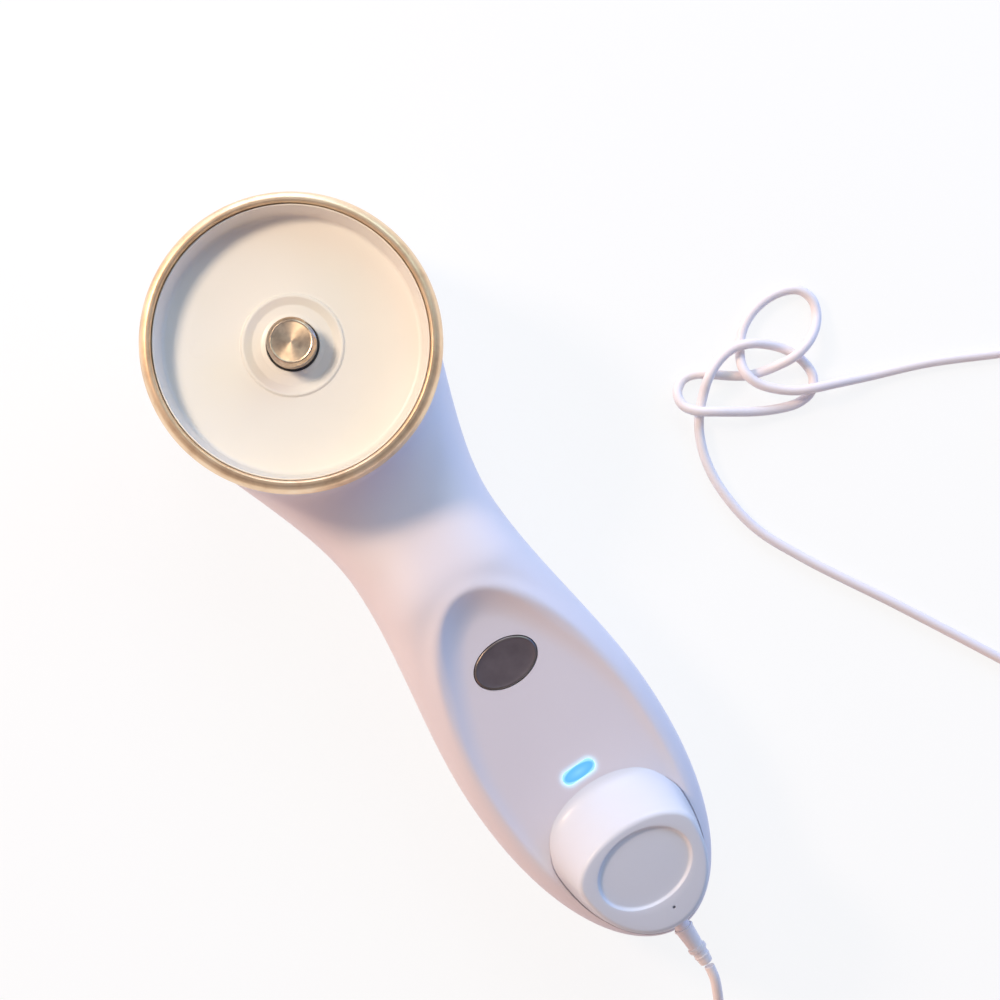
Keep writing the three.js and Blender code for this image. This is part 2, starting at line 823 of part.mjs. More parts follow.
function statusLed() {
  return onDish(block(ledLength, ledWidth, switchBottom, switchBottom + ledHeight), lightPlace);
}

function chargeContact(across) {
  const stud = turned([
    [0, -contactLength], [contactRadius, -contactLength], [contactRadius, shellUnderside - hubWall],
    [contactRadius + hubWall, shellUnderside - hubWall], [contactRadius + hubWall, shellUnderside],
    [contactRadius, shellUnderside], [contactRadius, 0], [0, 0],
  ], smallSides);
  return onDish(stud, contactPlace, across);
}

function handleMagnet(across) {
  const top = shellUnderside - seatGap;
  return onDish(rod(magnetRadius, top - magnetThickness, top), contactPlace, across);
}

const boardTop = -boardDepth;
const boardBottom = boardTop - boardThickness;

function circuitBoard() {
  const length = boardEnd - boardStart;
  const board = block(2 * boardHalfWidth, length, boardBottom, boardTop)
    .translate(0, -(boardStart + boardEnd) / 2, 0);
  const holes = boardBossPlaces.flatMap((along) => [-boardBossSide, boardBossSide].map((across) => rod(
    screwRadius + seatGap, boardBottom - overrun, boardTop + overrun,
  ).translate(across, -along, 0)));
  return onDish(cut(board, ...holes));
}

function boardScrew(along, across) {
  return onDish(screw(boardBottom - seatGap, -wall - dishDepth - overrun), along, across);
}

// Battery

const batteryBottom = cradleFloor + cradleThickness + seatGap;
const batteryMiddle = batteryStart + batteryLength / 2;

function batteryCell() {
  const end = roundedRectangle(batteryHalfWidth, batteryHeight / 2, batteryCorner);
  return pressed(end, -batteryLength / 2, batteryLength / 2, arcSteps)
    .rotateX(Math.PI / 2).translate(0, -batteryMiddle, batteryBottom + batteryHeight / 2);
}

function batteryCradle() {
  const halfWidth = batteryHalfWidth + seatGap + cradleThickness;
  const length = batteryLength + 2 * (seatGap + cradleThickness);
  const inside = block(
    2 * (batteryHalfWidth + seatGap), batteryLength + 2 * seatGap,
    cradleFloor + cradleThickness, cradleFloor + cradleWallHeight + overrun,
  );
  const tray = cut(block(2 * halfWidth, length, cradleFloor, cradleFloor + cradleWallHeight), inside);
  return tray.translate(0, -batteryMiddle, 0);
}

// Wires from board to motor and from contacts to board

function motorWire(side) {
  const start = motorPlace + motorRadius + seatGap;
  const atMotor = side * wireSide;
  const atBoard = side * (wireSide + wireSpread);
  const exitHeight = neckCrown - wall - wireRadius - runGap;
  const boardHeight = dishHeight - boardDepth - boardThickness / 2 - boardStart * Math.sin(dishTilt);
  const boardEdge = dishPlace + boardStart - boardDepth * Math.sin(dishTilt) - seatGap - runGap;
  const [nearMotor, nearBoard] = wireDipShares.map((share) => -blend(start, boardEdge, share));
  return tubeAlong([
    [atMotor, -start, exitHeight], [atMotor, nearMotor, exitHeight - wireRadius],
    [atBoard, nearBoard, boardHeight - wireRadius], [atBoard, -boardEdge, boardHeight],
  ], wireRadius, wireSides, wireSteps);
}

function contactWire(side) {
  const x = side * contactSide;
  const drop = -contactLength - seatGap;
  return onDish(tubeAlong([
    [x, -contactPlace, drop], [x, -contactPlace, drop - 2 * wireRadius],
    [x, -(contactPlace + boardEnd) / 2, boardTop - boardThickness / 2],
    [x, -(boardEnd + seatGap), boardTop - boardThickness / 2],
  ], wireRadius, wireSides, wireSteps));
}

// Charging puck

function puckShellLoft(inset, bottom, top, edge) {
  const rings = [eggRing(puckEgg(bottom), bottom, inset)];
  for (let i = 0; i <= arcSteps; i += 1) {
    const angle = Math.PI / 2 * i / arcSteps;
    const height = top - edge + edge * Math.sin(angle);
    rings.push(eggRing(puckEgg(height), height, inset + edge * (1 - Math.cos(angle))));
  }
  return loft(rings);
}

const reliefDirection = new THREE.Matrix4().makeRotationX(Math.PI / 2);
const puckEnd = puckEgg(reliefHeight).tail;
const reliefStart = puckEgg(reliefHeight - reliefRootRadius).tail + seatGap;

function alongRelief(geometry) {
  return onDish(geometry.applyMatrix4(reliefDirection).translate(0, 0, reliefHeight));
}

function puckCover() {
  const inside = puckShellLoft(puckWall, 0, puckHeight - puckWall, puckEdge / 2);
  const ring = ellipseShape(grooveHalfLength + grooveWidth / 2, grooveHalfWidth + grooveWidth / 2);
  ring.holes.push(new THREE.Path().absellipse(
    0, 0, grooveHalfLength - grooveWidth / 2, grooveHalfWidth - grooveWidth / 2, 0, 2 * Math.PI, true,
  ));
  const groove = pressed(ring, puckHeight - grooveDepth, puckHeight + overrun).translate(0, -grooveCentre, 0);
  const pinhole = rod(pinholeRadius, puckHeight - 2 * grooveDepth, puckHeight + overrun, arcSteps)
    .translate(0, -pinholePlace, 0);
  const neckHole = rod(reliefNeckRadius + seatGap, puckEnd - 3 * puckWall, puckEnd + 2 * puckWall)
    .applyMatrix4(reliefDirection).translate(0, 0, reliefHeight);
  const outside = puckShellLoft(0, seatGap, puckHeight, puckEdge);
  return onDish(cut(outside, inside, groove, pinhole, neckHole));
}

const puckBaseTop = 2 * seatGap + puckBaseThickness;
const puckBoardBottom = puckBaseTop + puckBoardHeight - puckBoardThickness;

function puckBase() {
  const gap = puckWall + seatGap;
  const plate = loft([
    eggRing(puckEgg(puckBaseTop), 2 * seatGap, gap), eggRing(puckEgg(puckBaseTop), puckBaseTop, gap),
  ]);
  const posts = [-puckPostSide, puckPostSide].map((across) => rod(
    puckPostRadius, puckBaseTop - puckBaseThickness / 2, puckBoardBottom - seatGap,
  ).translate(across, -puckPostPlace, 0));
  const holes = [-contactSide, contactSide].map((across) => rod(
    pinRadius + runGap, 0, puckBaseTop + overrun,
  ).translate(across, -contactPlace, 0));
  return onDish(cut(joined(plate, ...posts), ...holes));
}

function puckBoard() {
  const egg = puckEgg(puckBoardBottom);
  const inset = puckWall + 2 * overrun;
  return onDish(loft([
    eggRing(egg, puckBoardBottom, inset), eggRing(egg, puckBoardBottom + puckBoardThickness, inset),
  ]));
}

function springPin(across) {
  const collar = puckBaseTop + seatGap;
  return onDish(turned([
    [0, seatGap], [pinRadius, seatGap], [pinRadius, collar], [pinRadius + hubWall, collar],
    [pinRadius + hubWall, puckBoardBottom - seatGap], [0, puckBoardBottom - seatGap],
  ], smallSides), contactPlace, across);
}

function puckMagnet(across) {
  const bottom = puckBaseTop + seatGap;
  return onDish(rod(magnetRadius, bottom, bottom + magnetThickness), contactPlace, across);
}

function strainRelief() {
  const inner = puckEgg(reliefHeight + reliefRootRadius).tail - puckWall - 2 * seatGap;
  const end = reliefStart + reliefLength;
  const ring = reliefStart + reliefRingPlace;
  const slope = (reliefEndRadius - reliefRootRadius) / reliefLength;
  const radiusAt = (place) => reliefRootRadius + slope * (place - reliefStart);
  return alongRelief(turned([
    [0, inner - reliefRingWidth], [reliefRootRadius, inner - reliefRingWidth], [reliefRootRadius, inner],
    [reliefNeckRadius, inner], [reliefNeckRadius, reliefStart], [reliefRootRadius, reliefStart],
    [radiusAt(ring), ring], [reliefRingRadius, ring], [reliefRingRadius, ring + reliefRingWidth],
    [radiusAt(ring + reliefRingWidth), ring + reliefRingWidth], [reliefEndRadius, end], [0, end],
  ], smallSides));
}

// Charging lead: its route on the table, in three stretches
const leadDrop = [
  [0, -143.1, 20.1], [-0.4, -145.6, 19.6], [-1.6, -149, 17.8], [-3, -152.5, 14.9],
  [-4.6, -156.5, 11], [-5.8, -160.5, 7], [-6.6, -165, 3.7], [-6.9, -170, 1.7], [-6.2, -175, 1.05],
  [-4, -181, 1.05], [1.5, -190, 1.05], [9, -198.5, 1.05], [19, -206, 1.05], [31.5, -211.5, 1.05],
  [44, -213, 1.05], [56, -210, 1.05], [66, -203.5, 1.05], [73, -194, 1.05], [77.5, -183, 1.05],
  [80.5, -171, 1.05], [84.5, -160, 1.05], [88, -150.5, 1.05], [88.9, -142.5, 1.05],
  [87.8, -136.8, 1.05], [86, -132.9, 1.05],
];
const leadLoops = [
  [85.86, -132.63, 1.05], [84.6, -130.2, 1.05], [73, -109, 1.05], [62.5, -90.5, 1.05],
  [57.7, -79.9, 1.12], [56.3, -69.8, 1.12], [57, -63.1, 1.12], [58.8, -58.1, 1.12],
  [61, -54.7, 1.12], [63.7, -51.8, 2.1], [66.4, -49.4, 3.57], [70, -47.7, 3.62],
  [73.8, -47.2, 3.62], [77.3, -48.3, 3.62], [80.6, -50.6, 2.5], [83.4, -53.7, 1.2],
  [84.9, -57.5, 1.12], [84.8, -61.1, 1.12], [82.7, -63.4, 1.12], [79.3, -63.8, 1.12],
  [75.4, -62.6, 1.2], [71.3, -60.6, 1.8], [67.4, -58.2, 2.8], [63.9, -55.9, 3.62],
  [60.6, -53.5, 3.62], [59.1, -51.1, 2.9], [59.7, -48.4, 2], [62.2, -46.8, 1.3],
  [65, -47.3, 1.12], [67.7, -49.1, 1.12], [70.5, -51.3, 1.12], [73.7, -53.4, 1.12],
  [76.8, -54.5, 1.5], [80.1, -55.2, 2.7], [83.6, -55.5, 3.62], [87.2, -54.8, 3.3],
  [90.5, -53.1, 2.1], [92.7, -50.7, 1.2], [93.5, -47.8, 1.12], [92.5, -45, 1.12],
  [90, -43.4, 1.12], [86.3, -42.7, 1.12], [82.2, -43.2, 1.12], [78.7, -44.8, 1.12],
  [76.1, -47.2, 1.12], [74.8, -49, 1.6], [73.6, -51, 2.9], [73.3, -53.4, 3.62],
  [74.3, -56.1, 3.62], [76.7, -58.9, 3.57], [79.7, -61.3, 3.57], [82.9, -62.9, 3.62],
  [87.5, -64.7, 2.8], [94.5, -67.4, 1.3], [106, -71.8, 1.05], [119.4, -78.4, 1.05],
  [131, -84.2, 1.6], [135.13, -86.27, 1.65],
];
const dropSteps = 27;
const loopSteps = 88;
const gapSamples = 600;
const gapStepsApart = 16;

// Coil of the stored length beside the loops
const coilCentre = [130.3, -101.25];
const coilMeanRadius = 11.6;
const coilPitch = 2.47;
const coilTurns = 6.25;
const coilStepsPerTurn = 24;
const coilClimbTurns = 0.5;
const coilSides = 6;
const coilEntryAngle = THREE.MathUtils.degToRad(63.4);
const coilTail = 10;
const coilLift = 0.65;
const tieThickness = 0.4;
const tieWidth = 6;
const tieSlack = 0.5;
const tieAngle = THREE.MathUtils.degToRad(215);

function coilPoint(turn) {
  const half = coilTurns / 2;
  const inner = coilMeanRadius - coilPitch * half / 2;
  const radius = inner + coilPitch * Math.abs(turn - half);
  const angle = coilEntryAngle - 2 * Math.PI * turn;
  const climb = smoothShare(turn, half - coilClimbTurns / 2, half + coilClimbTurns / 2);
  return new THREE.Vector3(
    coilCentre[0] + radius * Math.cos(angle),
    coilCentre[1] + radius * Math.sin(angle),
    leadRadius + coilLift + coilPitch * climb,
  );
}

function coilRoute() {
  const steps = Math.round(coilTurns * coilStepsPerTurn);
  const route = [];
  for (let i = 0; i <= steps; i += 1) route.push(coilPoint(coilTurns * i / steps));
  const entry = route[0].clone().sub(route[1]).setLength(2 * leadRadius);
  const leaving = route[steps].clone().sub(route[steps - 1]).setLength(2 * leadRadius + coilTail);
  return [route[0].clone().add(entry), ...route, route[steps].clone().add(leaving)];
}

// The least distance between points of a route that lie so many steps apart or more, less one
// diameter of the lead.
function routeGap(route, stepsApart) {
  let least = Infinity;
  for (let i = 0; i < route.length; i += 1) {
    for (let j = i + stepsApart; j < route.length; j += 1) {
      least = Math.min(least, route[i].distanceTo(route[j]));
    }
  }
  return least - 2 * leadRadius;
}

// A tube through every point of a route, its section square to the mean direction at each point.
function tubeThrough(route, radius, sides) {
  const up = new THREE.Vector3(0, 0, 1);
  return loft(route.map((point, i) => {
    const ahead = route[Math.min(i + 1, route.length - 1)];
    const behind = route[Math.max(i - 1, 0)];
    const direction = ahead.clone().sub(behind).normalize();
    const side = new THREE.Vector3().crossVectors(up, direction).normalize();
    const top = new THREE.Vector3().crossVectors(direction, side);
    return roundSection(radius, sides).getPoints().map((corner) => point.clone()
      .addScaledVector(side, corner.x).addScaledVector(top, corner.y));
  }));
}

const storedCoil = coilRoute();
const coilGap = routeGap(storedCoil, coilStepsPerTurn / 2);
console.log(`least gap between the coil's turns: ${coilGap.toFixed(2)} mm`);

const loopsGap = routeGap(routeCurve(leadLoops).getSpacedPoints(gapSamples), gapStepsApart);
console.log(`least gap where the loops cross: ${loopsGap.toFixed(2)} mm`);

function coilTie() {
  const reach = coilPitch * coilTurns / 4 + leadRadius + tieSlack;
  const halfHeight = (coilPitch + 2 * leadRadius) / 2 + seatGap / 2;
  const outer = roundedRectangle(reach + tieThickness, halfHeight + tieThickness, leadRadius);
  outer.holes.push(roundedRectangle(reach, halfHeight, leadRadius - tieThickness));
  return pressed(outer, -tieWidth / 2, tieWidth / 2, arcSteps)
    .rotateX(Math.PI / 2)
    .translate(coilMeanRadius, 0, leadRadius + coilLift + coilPitch / 2)
    .rotateZ(tieAngle)
    .translate(coilCentre[0], coilCentre[1], 0);
}

// Plug at the lead's far end, lying beside the coil
const plugLength = 20;
const plugHalfWidth = 7.6;
const plugThickness = 8;
const plugCorner = 2.2;
const plugCollarLength = 6;
const plugCollarRadius = 2.6;
const plugCollarEnd = 1.6;
const plugShellLength = 12;
const plugShellWidth = 12;
const plugShellHeight = 4.5;
const plugShellWall = 0.35;
const plugShellCorner = 0.5;
const plugTongueThickness = 1.7;
const plugTongueInset = 0.9;

function placeAtPlug(geometry) {
  const end = storedCoil[storedCoil.length - 1];
  const before = storedCoil[storedCoil.length - 2];
  const heading = Math.atan2(end.y - before.y, end.x - before.x);
  const direction = new THREE.Vector3(Math.cos(heading), Math.sin(heading), 0).multiplyScalar(seatGap);
  return geometry.rotateZ(heading - Math.PI / 2).translate(end.x + direction.x, end.y + direction.y, end.z);
}

function plugBody() {
  const collar = turned([
    [0, 0], [plugCollarEnd, 0], [plugCollarRadius, plugCollarLength],
    [plugCollarRadius, plugCollarLength + plugCorner], [0, plugCollarLength + plugCorner],
  ], smallSides).rotateX(-Math.PI / 2);
  const grip = roundedRectangle(plugHalfWidth, plugThickness / 2, plugCorner);
  const body = pressed(grip, 0, plugLength, arcSteps)
    .rotateX(-Math.PI / 2).translate(0, plugCollarLength, 0);
  const mouth = roundedRectangle(
    plugShellWidth / 2 + seatGap, plugShellHeight / 2 + seatGap, plugShellCorner,
  );
  const socket = pressed(mouth, 0, plugLength, arcSteps)
    .rotateX(-Math.PI / 2).translate(0, plugCollarLength + plugLength - plugShellHeight, 0);
  return placeAtPlug(cut(joined(collar, body), socket));
}

const plugShellStart = plugCollarLength + plugLength - plugShellHeight + seatGap;

function plugShell() {
  const inner = plugShellWidth / 2 - plugShellWall;
  const tube = roundedRectangle(plugShellWidth / 2, plugShellHeight / 2, plugShellCorner);
  tube.holes.push(roundedRectangle(inner, plugShellHeight / 2 - plugShellWall, plugShellCorner / 2));
  return placeAtPlug(pressed(tube, 0, plugShellLength + plugShellHeight, arcSteps)
    .rotateX(-Math.PI / 2).translate(0, plugShellStart, 0));
}

function plugTongue() {
  const halfWidth = plugShellWidth / 2 - plugShellWall - seatGap;
  const height = plugShellHeight / 2 - plugShellWall - seatGap;
  const length = plugShellLength + plugShellHeight - plugTongueInset;
  return placeAtPlug(block(2 * halfWidth, length, height - plugTongueThickness, height)
    .translate(0, plugShellStart + length / 2, 0));
}

// Finishes
const finishes = {
  shell: { color: 0xe7e4ea, roughness: 0.32, metalness: 0 },
  ring: { color: 0xc9ae84, roughness: 0.25, metalness: 1 },
  cup: { color: 0xe9e4dc, roughness: 0.5, metalness: 0 },
  steel: { color: 0xb9b2a6, roughness: 0.3, metalness: 1 },
  button: { color: 0x57504f, roughness: 0.35, metalness: 1 },
  light: { color: 0x6fc4ff, roughness: 0.2, metalness: 0 },
  puck: { color: 0xd8d7de, roughness: 0.45, metalness: 0 },
  lead: { color: 0xe6dfe0, roughness: 0.5, metalness: 0 },
  rubber: { color: 0x3a3a3c, roughness: 0.8, metalness: 0 },
  nylon: { color: 0xe3dcc8, roughness: 0.5, metalness: 0 },
  board: { color: 0x1f6b43, roughness: 0.5, metalness: 0 },
  cell: { color: 0x9aa0a8, roughness: 0.4, metalness: 0 },
  gold: { color: 0xd8b25a, roughness: 0.3, metalness: 1 },
  magnet: { color: 0x9c9ea2, roughness: 0.25, metalness: 1 },
  redWire: { color: 0xb03030, roughness: 0.5, metalness: 0 },
  blackWire: { color: 0x262626, roughness: 0.5, metalness: 0 },
};

// The device, centred over the middle of its length
const device = new THREE.Group();

function piece(name, finish, geometry) {
  const mesh = new THREE.Mesh(geometry, new THREE.MeshStandardMaterial(finishes[finish]));
  mesh.name = name;
  device.add(mesh);
}

piece('front_shell', 'shell', frontShell());
piece('rear_shell', 'shell', rearShell());
piece('joint_band', 'rubber', jointBand());
piece('head_ring', 'ring', headRing());
piece('head_cup', 'cup', headCup());

piece('output_shaft', 'steel', outputShaft());
piece('output_gear', 'nylon', outputGear());
piece('shaft_clip', 'steel', shaftClip());
piece('shaft_seal', 'rubber', shaftSeal());
piece('upper_bearing', 'steel', bearing(upperBearingBottom));
piece('lower_bearing', 'steel', bearing(lowerBearingBottom));

piece('gearbox_plate', 'nylon', gearboxPlate());
screwPlaces().forEach((place, i) => piece(`gearbox_screw_${i + 1}`, 'steel', gearboxScrew(place)));
piece('motor_can', 'steel', motorCan());
piece('motor_end_cap', 'nylon', motorEndCap());
piece('motor_rotor', 'steel', motorRotor());
piece('motor_pinion', 'gold', motorPinion());

piece('button_cap', 'button', buttonCap());
piece('button_seal', 'rubber', buttonSeal());
piece('tact_switch', 'rubber', tactSwitch());
piece('switch_plunger', 'nylon', switchPlunger());
piece('light_pipe', 'light', lightPipe());
piece('status_led', 'light', statusLed());
piece('circuit_board', 'board', circuitBoard());
boardBossPlaces.forEach((along, i) => {
  piece(`board_screw_left_${i + 1}`, 'steel', boardScrew(along, -boardBossSide));
  piece(`board_screw_right_${i + 1}`, 'steel', boardScrew(along, boardBossSide));
});
piece('battery_cell', 'cell', batteryCell());
piece('battery_cradle', 'nylon', batteryCradle());

for (const [side, label, wireFinish] of [[-1, 'left', 'redWire'], [1, 'right', 'blackWire']]) {
  piece(`charge_contact_${label}`, 'gold', chargeContact(side * contactSide));
  piece(`handle_magnet_${label}`, 'magnet', handleMagnet(side * magnetSide));
  piece(`spring_pin_${label}`, 'gold', springPin(side * contactSide));
  piece(`puck_magnet_${label}`, 'magnet', puckMagnet(side * magnetSide));
  piece(`motor_wire_${label}`, wireFinish, motorWire(side));
  piece(`contact_wire_${label}`, wireFinish, contactWire(side));
}

piece('puck_cover', 'puck', puckCover());
piece('puck_base', 'puck', puckBase());
piece('puck_board', 'board', puckBoard());
piece('strain_relief', 'lead', strainRelief());

piece('charging_lead', 'lead', tubeAlong(leadDrop, leadRadius, leadSides, dropSteps));
piece('lead_loops', 'lead', tubeAlong(leadLoops, leadRadius, leadSides, loopSteps));
piece('lead_coil', 'lead', tubeThrough(storedCoil, leadRadius, coilSides));
piece('coil_tie', 'rubber', coilTie());
piece('plug_body', 'lead', plugBody());
piece('plug_shell', 'steel', plugShell());
piece('plug_tongue', 'nylon', plugTongue());

const reliefTip = new THREE.Vector3(0, -(reliefStart + reliefLength), reliefHeight + reliefEndRadius)
  .applyMatrix4(dishMatrix);
device.position.y = -(reliefTip.y + ringRadius) / 2;

export default device;
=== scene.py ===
"""Looks of a facial cleansing device lying on its back, with its charging puck and its lead.

Sizes are in millimetres in the head's own frame, where "place" counts from the head's centre towards
the tail, and are turned to metres when a mesh is made.
"""
import json
import math

import bmesh
import bpy
import numpy as np
from mathutils import Matrix, Vector


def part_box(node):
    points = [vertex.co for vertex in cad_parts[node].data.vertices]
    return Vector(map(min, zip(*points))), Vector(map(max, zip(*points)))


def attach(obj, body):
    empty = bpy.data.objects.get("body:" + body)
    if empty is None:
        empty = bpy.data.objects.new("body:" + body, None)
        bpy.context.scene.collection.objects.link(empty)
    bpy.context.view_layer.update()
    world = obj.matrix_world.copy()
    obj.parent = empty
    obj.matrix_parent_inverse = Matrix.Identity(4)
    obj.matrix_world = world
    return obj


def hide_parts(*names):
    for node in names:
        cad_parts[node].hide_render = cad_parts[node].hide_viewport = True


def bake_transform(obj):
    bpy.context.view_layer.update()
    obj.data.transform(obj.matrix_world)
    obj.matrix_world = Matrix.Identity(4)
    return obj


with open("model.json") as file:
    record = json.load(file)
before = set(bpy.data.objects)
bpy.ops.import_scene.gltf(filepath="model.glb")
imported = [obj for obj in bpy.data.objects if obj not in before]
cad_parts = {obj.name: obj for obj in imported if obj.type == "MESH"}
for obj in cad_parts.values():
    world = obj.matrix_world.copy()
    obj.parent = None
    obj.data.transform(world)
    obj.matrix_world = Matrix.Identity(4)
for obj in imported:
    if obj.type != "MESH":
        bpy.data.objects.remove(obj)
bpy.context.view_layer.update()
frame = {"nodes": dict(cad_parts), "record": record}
scene = bpy.context.scene

MM = 0.001
ring_low, ring_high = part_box("head_ring")
HEAD_Y = (ring_low.y + ring_high.y) / 2 / MM


def row(point):
    """A point of the head's frame, in millimetres, as metres in the row's frame."""
    x, y, z = point
    return (x * MM, (y + HEAD_Y) * MM, z * MM)


def placed(name, data):
    """A new object in the scene."""
    obj = bpy.data.objects.new(name, data)
    scene.collection.objects.link(obj)
    return obj


# ---------------------------------------------------------------- camera

# As fitted to the photograph: where it stands, the point it looks at, how far the picture is turned, and
# its focal length as a share of the picture's width
CAMERA_PLACE = (-8.69, -42.464, 430)
CAMERA_AIM = (17.867, -46.351, 0)
TURN_ACROSS, TURN_UP, TURN_TRIM = 0.559, 0.829, 0.002
FOCAL_SHARE, SENSOR = 2.131566, 36

camera_data = bpy.data.cameras.new("camera")
camera_data.sensor_fit = "HORIZONTAL"
camera_data.sensor_width = SENSOR
camera_data.lens = FOCAL_SHARE * SENSOR
camera_data.clip_start = 0.01
camera = placed("camera", camera_data)
camera_place = Vector(row(CAMERA_PLACE))
camera_turn = math.atan2(TURN_ACROSS, TURN_UP) - TURN_TRIM
ahead = (Vector(row(CAMERA_AIM)) - camera_place).normalized()
right = Vector((math.cos(camera_turn), -math.sin(camera_turn), 0))
right = (right - ahead * right.dot(ahead)).normalized()
up = right.cross(ahead)
camera.matrix_world = Matrix.Translation(camera_place) @ Matrix((right, up, -ahead)).transposed().to_4x4()
scene.camera = camera


# ---------------------------------------------------------------- mesh tools

def rework(sources, target, *jobs):
    """Gathers meshes into one, does the jobs on it and writes it to the target mesh."""
    shape = bmesh.new()
    for mesh in sources:
        shape.from_mesh(mesh)
    for job in jobs:
        job(shape)
    shape.to_mesh(target)
    shape.free()
    return target


def face_out(shape):
    """Turns a closed shape's faces outwards."""
    bmesh.ops.recalc_face_normals(shape, faces=shape.faces)


def solid(name, points, faces):
    """A closed piece from points in the head's frame."""
    mesh = bpy.data.meshes.new(name)
    mesh.from_pydata([row(p) for p in points], [], faces)
    mesh.validate()
    return placed(name, rework([mesh], mesh, face_out))


def soften(obj, crease=34):
    """Smooth faces that stay crisp where they meet at more than the crease's angle, in degrees."""
    limit = math.radians(crease)

    def smooth(shape):
        for face in shape.faces:
            face.smooth = True
        for edge in shape.edges:
            edge.smooth = not (edge.is_manifold and edge.calc_face_angle(0) > limit)

    rework([obj.data], obj.data, smooth)
    return obj


def bake(obj):
    """Applies an object's modifiers."""
    graph = bpy.context.evaluated_depsgraph_get()
    made = bpy.data.meshes.new_from_object(obj.evaluated_get(graph))
    old = obj.data
    obj.modifiers.clear()
    obj.data = made
    bpy.data.meshes.remove(old)
    return obj


def merged(name, objects):
    """One object from several, which are removed."""
    mesh = rework([obj.data for obj in objects], bpy.data.meshes.new(name))
    for obj in objects:
        bpy.data.objects.remove(obj)
    return placed(name, mesh)


def carve(obj, cutters):
    """Takes closed shapes away from an object."""
    cutter = merged("cutter", cutters)
    step = obj.modifiers.new("carve", "BOOLEAN")
    step.operation = "DIFFERENCE"
    step.solver = "EXACT"
    step.object = cutter
    bake(obj)
    bpy.data.objects.remove(cutter)
    return obj


def around(sides, shift=0):
    """Angles spaced evenly round a circle, shifted by a share of their spacing."""
    return [2 * math.pi * (i + shift) / sides for i in range(sides)]


def loft(name, rings, looped=False):
    """A piece over rings with the same number of points each, with flat ends or closed to a loop."""
    count, total = len(rings[0]), len(rings)
    faces = []
    for r in range(total if looped else total - 1):
        here, there = r * count, (r + 1) % total * count
        for i in range(count):
            j = (i + 1) % count
            faces.append((here + i, here + j, there + j, there + i))
    if not looped:
        faces += [tuple(range(count))[::-1], tuple(range((total - 1) * count, total * count))]
    return solid(name, [p for ring in rings for p in ring], faces)


def rounded(corners, steps=4):
    """A path through (x, y, radius) corners, each rounded to its radius."""
    path = []
    count = len(corners)
    for i, (x, y, radius) in enumerate(corners):
        here = Vector((x, y))
        if radius == 0 or i in (0, count - 1):
            path.append((x, y))
            continue
        before = Vector(corners[i - 1][:2]) - here
        after = Vector(corners[i + 1][:2]) - here
        half = before.angle(after) / 2
        reach = min(radius / math.tan(half), before.length * 0.499, after.length * 0.499)
        size = reach * math.tan(half)
        start = here + before.normalized() * reach
        centre = here + (before.normalized() + after.normalized()).normalized() * (size / math.sin(half))
        first = start - centre
        last = here + after.normalized() * reach - centre
        turn = first.angle_signed(last)
        for k in range(steps + 1):
            angle = -turn * k / steps
            spun = Matrix.Rotation(angle, 2) @ first
            path.append(tuple(centre + spun))
    return path


def lathe(name, corners, sides=96, steps=4, matrix=None):
    """A turned piece about a vertical line, from (radius, height, rounding) corners."""
    points, rings = [], []
    for radius, height in rounded(corners, steps):
        angles = around(sides) if radius > 1e-6 else [0]
        rings.append(range(len(points), len(points) + len(angles)))
        points += [(radius * math.cos(angle), radius * math.sin(angle), height) for angle in angles]
    pairs = list(zip(rings, rings[1:]))
    if len(rings[0]) > 1 and len(rings[-1]) > 1:
        pairs.append((rings[-1], rings[0]))
    faces = []
    for lower, upper in pairs:
        for i in range(sides):
            j = (i + 1) % sides
            ends = (lower, i), (lower, j), (upper, j), (upper, i)
            faces.append(tuple(dict.fromkeys(ring[k % len(ring)] for ring, k in ends)))
    if matrix is not None:
        points = [tuple(matrix @ Vector(p)) for p in points]
    return solid(name, points, faces)


def smoothstep(value, low, high):
    t = min(max((value - low) / (high - low), 0), 1)
    return t * t * (3 - 2 * t)


def blend(start, end, share):
    return start + (end - start) * share


def passing(a, b, start, end, t):
    """The point at time t on the straight way from a to b."""
    return a * (end - t) / (end - start) + b * (t - start) / (end - start)


def spline(points, spacing):
    """Points along a smooth centripetal curve through the given ones, about a spacing apart."""
    knots = [Vector(p) for p in points]
    knots = [2 * knots[0] - knots[1], *knots, 2 * knots[-1] - knots[-2]]
    path = []
    for i in range(1, len(knots) - 2):
        a, b, c, d = knots[i - 1:i + 3]
        t1 = (b - a).length ** 0.5
        t2 = t1 + (c - b).length ** 0.5
        t3 = t2 + (d - c).length ** 0.5
        steps = max(1, math.ceil((c - b).length / spacing))
        for k in range(steps):
            t = t1 + (t2 - t1) * k / steps
            ab, bc, cd = passing(a, b, 0, t1, t), passing(b, c, t1, t2, t), passing(c, d, t2, t3, t)
            path.append(passing(passing(ab, bc, 0, t2, t), passing(bc, cd, t1, t3, t), t1, t2, t))
    path.append(knots[-2])
    return path


def tube(name, points, radius, sides=16):
    """A round tube through points in the head's frame."""
    rings = []
    side = (points[1] - points[0]).normalized().orthogonal()
    for i, point in enumerate(points):
        heading = (points[min(i + 1, len(points) - 1)] - points[max(i - 1, 0)]).normalized()
        side = (side - heading * side.dot(heading)).normalized()
        across = heading.cross(side)
        rings.append([
            tuple(point + side * radius * math.cos(angle) + across * radius * math.sin(angle))
            for angle in around(sides)
        ])
    return loft(name, rings)


def cord_curve(name, points, radius):
    """A curve of one open spline with a round section."""
    data = bpy.data.curves.new(name, "CURVE")
    data.dimensions = "3D"
    data.bevel_depth = radius * MM
    data.bevel_resolution = 5
    data.use_fill_caps = True
    line = data.splines.new("POLY")
    line.points.add(len(points) - 1)
    for knot, point in zip(line.points, points):
        knot.co = (*row(point), 1)
    line.use_smooth = True
    return placed(name, data)


# ---------------------------------------------------------------- colours and materials

